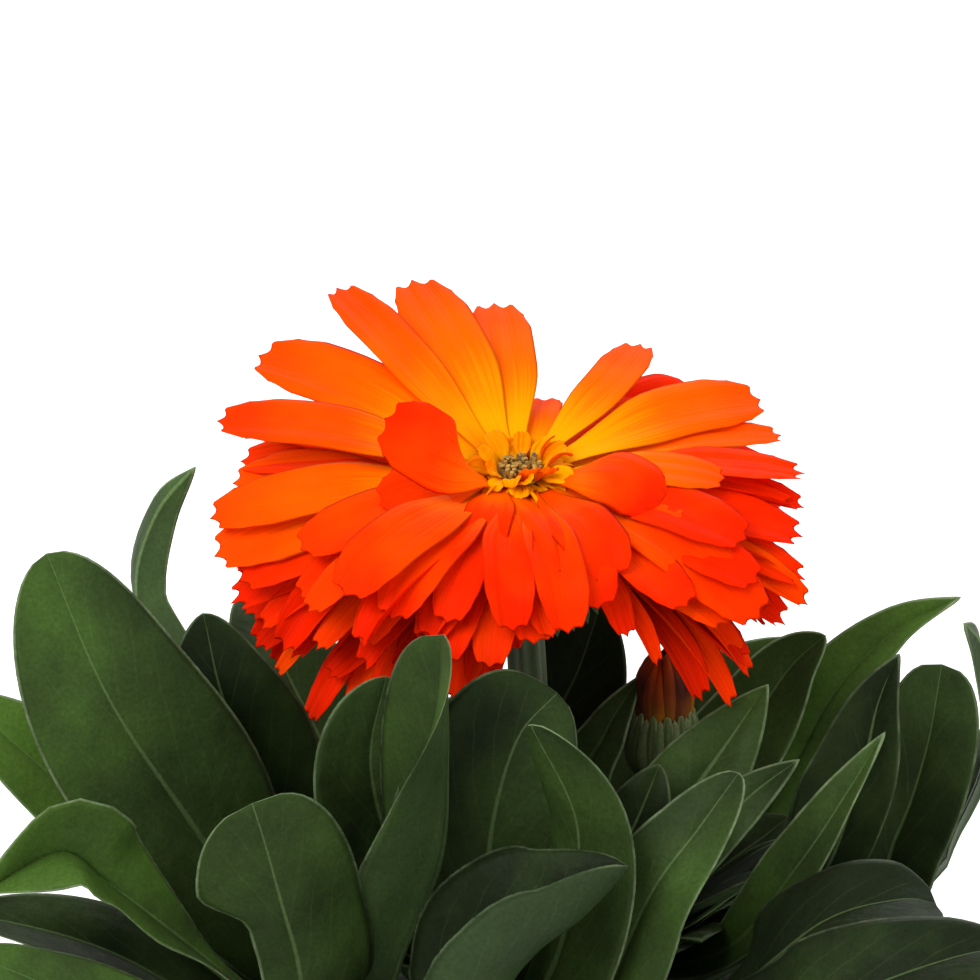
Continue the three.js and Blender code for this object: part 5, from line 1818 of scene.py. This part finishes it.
@dataclass
class PotAndSoil:
    """The plain moulded pot, and the potting mix that fills it to a watering gap under the rim."""

    base_radius: float = 43.0
    waist_radius: float = 55.0
    collar_radius: float = 57.6
    lip_radius: float = 60.0
    height: float = 100.0
    collar_height: float = 18.0
    lip_height: float = 2.5
    wall: float = 1.6
    floor: float = 2.2
    edge: float = 0.6
    foot_edge: float = 1.5
    shoulder: float = 1.4
    drain_holes: int = 6
    drain_radius: float = 4.5
    drain_circle: float = 30.0
    drain_sides: int = 20
    sharp_from: float = 40.0
    sides: int = 144
    soil_edge: float = 88.0
    soil_crown: float = 91.0
    soil_gap: float = 0.6
    soil_sides: int = 96
    soil_rings: int = 30
    crumb_radius: float = 1.1
    crumbs_per_m2: float = 420000.0

    def rounded(self, corners: list[Point]) -> list[Span]:
        """Rounds the corners of a profile.

        Args:
            corners: Radius, height and corner radius of each corner in turn.

        Returns:
            The profile's points, with a small arc at each rounded corner.
        """
        points = []
        spots = [np.array(corner[:2], float) for corner in corners]
        for i, (radius, height, round_off) in enumerate(corners):
            if round_off == 0 or i in (0, len(corners) - 1):
                points.append((radius, height))
                continue
            before, after = spots[i - 1] - spots[i], spots[i + 1] - spots[i]
            start = spots[i] + unit(before) * min(round_off, np.linalg.norm(before) / 2)
            end = spots[i] + unit(after) * min(round_off, np.linalg.norm(after) / 2)
            for share in np.linspace(0, 1, 5):
                bent = mix(mix(start, spots[i], share), mix(spots[i], end, share), share)
                points.append((float(bent[0]), float(bent[1])))
        return points

    def build(self) -> None:
        """Builds the pot and the soil."""
        collar_foot, lip_foot = self.height - self.collar_height, self.height - self.lip_height
        inner_collar, inner_waist = self.collar_radius - self.wall, self.waist_radius - self.wall
        profile = self.rounded([
            (0, 0, 0), (self.base_radius, 0, self.foot_edge),
            (self.waist_radius, collar_foot, 0.5), (self.collar_radius, collar_foot + self.shoulder, 0.8),
            (self.collar_radius, lip_foot, 0.4), (self.lip_radius, lip_foot, self.edge),
            (self.lip_radius, self.height, self.edge), (inner_collar, self.height, self.edge),
            (inner_collar, collar_foot + 2 * self.shoulder, 1), (inner_waist, collar_foot + self.shoulder, 1),
            (self.base_radius - self.wall, self.floor, 2), (0, self.floor, 0)])
        pot = turned("moulded_pot", profile, self.sides, POT_PLASTIC.build())
        self.drill(pot)
        hand_over(pot, Slot.POT, "pot")
        self.fill()

    def drill(self, pot: bpy.types.Object) -> None:
        """Drills the drain holes through the pot's floor.

        Args:
            pot: The undrilled pot.
        """
        points, faces = [], []
        sides = self.drain_sides
        for i in range(self.drain_holes):
            middle = outward_at((i + 0.5) / self.drain_holes * math.tau) * self.drain_circle
            offset = len(points)
            for height in (-2.0, self.floor + 2):
                for j in range(sides):
                    round_it = self.drain_radius * outward_at(j / sides * math.tau)
                    points.append(middle + round_it + [0, 0, height])
            faces += ring_faces(2, sides, offset)
            faces.append([offset + j for j in reversed(range(sides))])
            faces.append([offset + sides + j for j in range(sides)])
        cutter = mesh_object("drain_cutter", np.array(points) * MM, faces, pot.data.materials[0])
        modifier = pot.modifiers.new("drain", "BOOLEAN")
        modifier.object = cutter
        modifier.operation = "DIFFERENCE"
        modifier.solver = "EXACT"
        keep_shape(pot, modifier)
        bpy.data.objects.remove(cutter)
        pot.data.set_sharp_from_angle(angle=math.radians(self.sharp_from))

    def uneven(self, points: np.ndarray) -> np.ndarray:
        """Makes the soil's upper side lumpy.

        Args:
            points: The soil's points, in millimetres.

        Returns:
            The points, with the upper ones moved up or down.
        """
        x, y, z = points[:, 0], points[:, 1], points[:, 2]
        lumps = (0.5 * np.sin(x * 0.31 + 1) * np.cos(y * 0.27) + 0.35 * np.sin(x * 0.73 + y * 0.61)
                 + 0.2 * np.sin(x * 1.9 - y * 1.3) + 0.15 * np.cos(x * 2.7 + y * 3.1))
        on_top = smooth(self.soil_edge - 1, self.soil_edge + 0.5, z)
        return np.stack([x, y, z + lumps * on_top], -1)

    def fill(self) -> None:
        """Fills the pot with soil and strews crumbs on it."""
        foot = self.base_radius - self.wall - self.soil_gap
        waist = self.waist_radius - self.wall - self.soil_gap
        low, edge = self.floor + self.soil_gap / 2, self.soil_edge
        profile = [(0, low), (foot, low), (waist, self.height - self.collar_height)]
        for share in np.linspace(0, 1, self.soil_rings):
            profile.append((mix(waist, 0, share), mix(edge, self.soil_crown, math.sin(share * math.pi / 2))))
        soil = turned("potting_soil", profile, self.soil_sides, PEAT.build(), shape=self.uneven)
        grow(soil, crumb_tree(), {
            "Density": self.crumbs_per_m2, "Radius": self.crumb_radius * MM, "Lowest": (edge - 1.5) * MM,
            "Seed": 4, "Material": soil.data.materials[0]})
        hand_over(soil, Slot.SOIL, "soil")


@dataclass
class Studio:
    """The plain pale floor, the soft light and the camera at the photograph's angle."""

    target: Point = (0, 0, 188)
    distance: float = 1100.0
    elevation: float = 20.0
    lens: float = 297.1
    floor_side: float = 9.0

    def build(self) -> None:
        """Sets up the studio."""
        scene = bpy.context.scene
        scene.view_settings.view_transform = "Standard"
        scene.view_settings.look = "None"
        self.add_camera(scene)
        self.add_floor()
        self.add_light("key_light", (-700, -900, 1250), 900, 22.0)
        self.add_light("fill_light", (1000, -500, 700), 900, 3.0)
        self.add_light("back_light", (200, 1100, 1000), 800, 8.0)
        world = bpy.data.worlds.new("studio")
        scene.world = world
        world.use_nodes = True
        world.node_tree.nodes["Background"].inputs["Color"].default_value = (1, 1, 1, 1)
        world.node_tree.nodes["Background"].inputs["Strength"].default_value = 0.95

    def add_camera(self, scene: bpy.types.Scene) -> None:
        """Puts the camera at the photograph's distance and angle.

        Args:
            scene: The scene that looks through it.
        """
        rise = math.radians(self.elevation)
        away = Vector((0, -math.cos(rise), math.sin(rise))) * self.distance
        data = bpy.data.cameras.new("camera")
        data.lens = self.lens
        data.sensor_width = 36
        data.clip_start = 0.05
        camera = bpy.data.objects.new("camera", data)
        camera.location = (Vector(self.target) + away) * MM
        camera.rotation_euler = (math.radians(90) - rise, 0, 0)
        scene.collection.objects.link(camera)
        scene.camera = camera

    def add_floor(self) -> None:
        """Lays the floor under the pot."""
        material, add = new_material("matt_white_paper")
        paper = add("ShaderNodeBsdfPrincipled", inputs={
            "Base Color": linear("#f8f8f8"), "Roughness": 0.9, "Specular IOR Level": 0.1})
        add("ShaderNodeOutputMaterial", inputs={"Surface": paper})
        reach = self.floor_side / 2
        corners = np.array([[-reach, -reach, 0], [reach, -reach, 0], [reach, reach, 0], [-reach, reach, 0]])
        mesh_object("floor", corners, [[0, 1, 2, 3]], material)

    def add_light(self, name: str, spot: Point, size: float, power: float) -> None:
        """Hangs one square softbox that looks at the plant.

        Args:
            name: The light's name.
            spot: Where it hangs, in millimetres.
            size: Its side, in millimetres.
            power: Its power in watts.
        """
        data = bpy.data.lights.new(name, "AREA")
        data.size = size * MM
        data.energy = power
        light = bpy.data.objects.new(name, data)
        light.location = Vector(spot) * MM
        aim = (Vector(self.target) - Vector(spot)).to_track_quat("-Z", "Y")
        light.rotation_euler = aim.to_euler()
        bpy.context.scene.collection.objects.link(light)


def main() -> None:
    """Builds the studio and the plant."""
    logging.basicConfig(level=logging.INFO, format="%(name)s: %(message)s")
    Studio().build()
    PotAndSoil().build()
    stem = STEM_TISSUE.build()
    for piece in STEMS.values():
        hand_over(piece.build(stem), Slot.STEM, piece.name)
    Foliage().build()
    Flower().build()
    Bud().build()


if __name__ == "__main__":
    main()
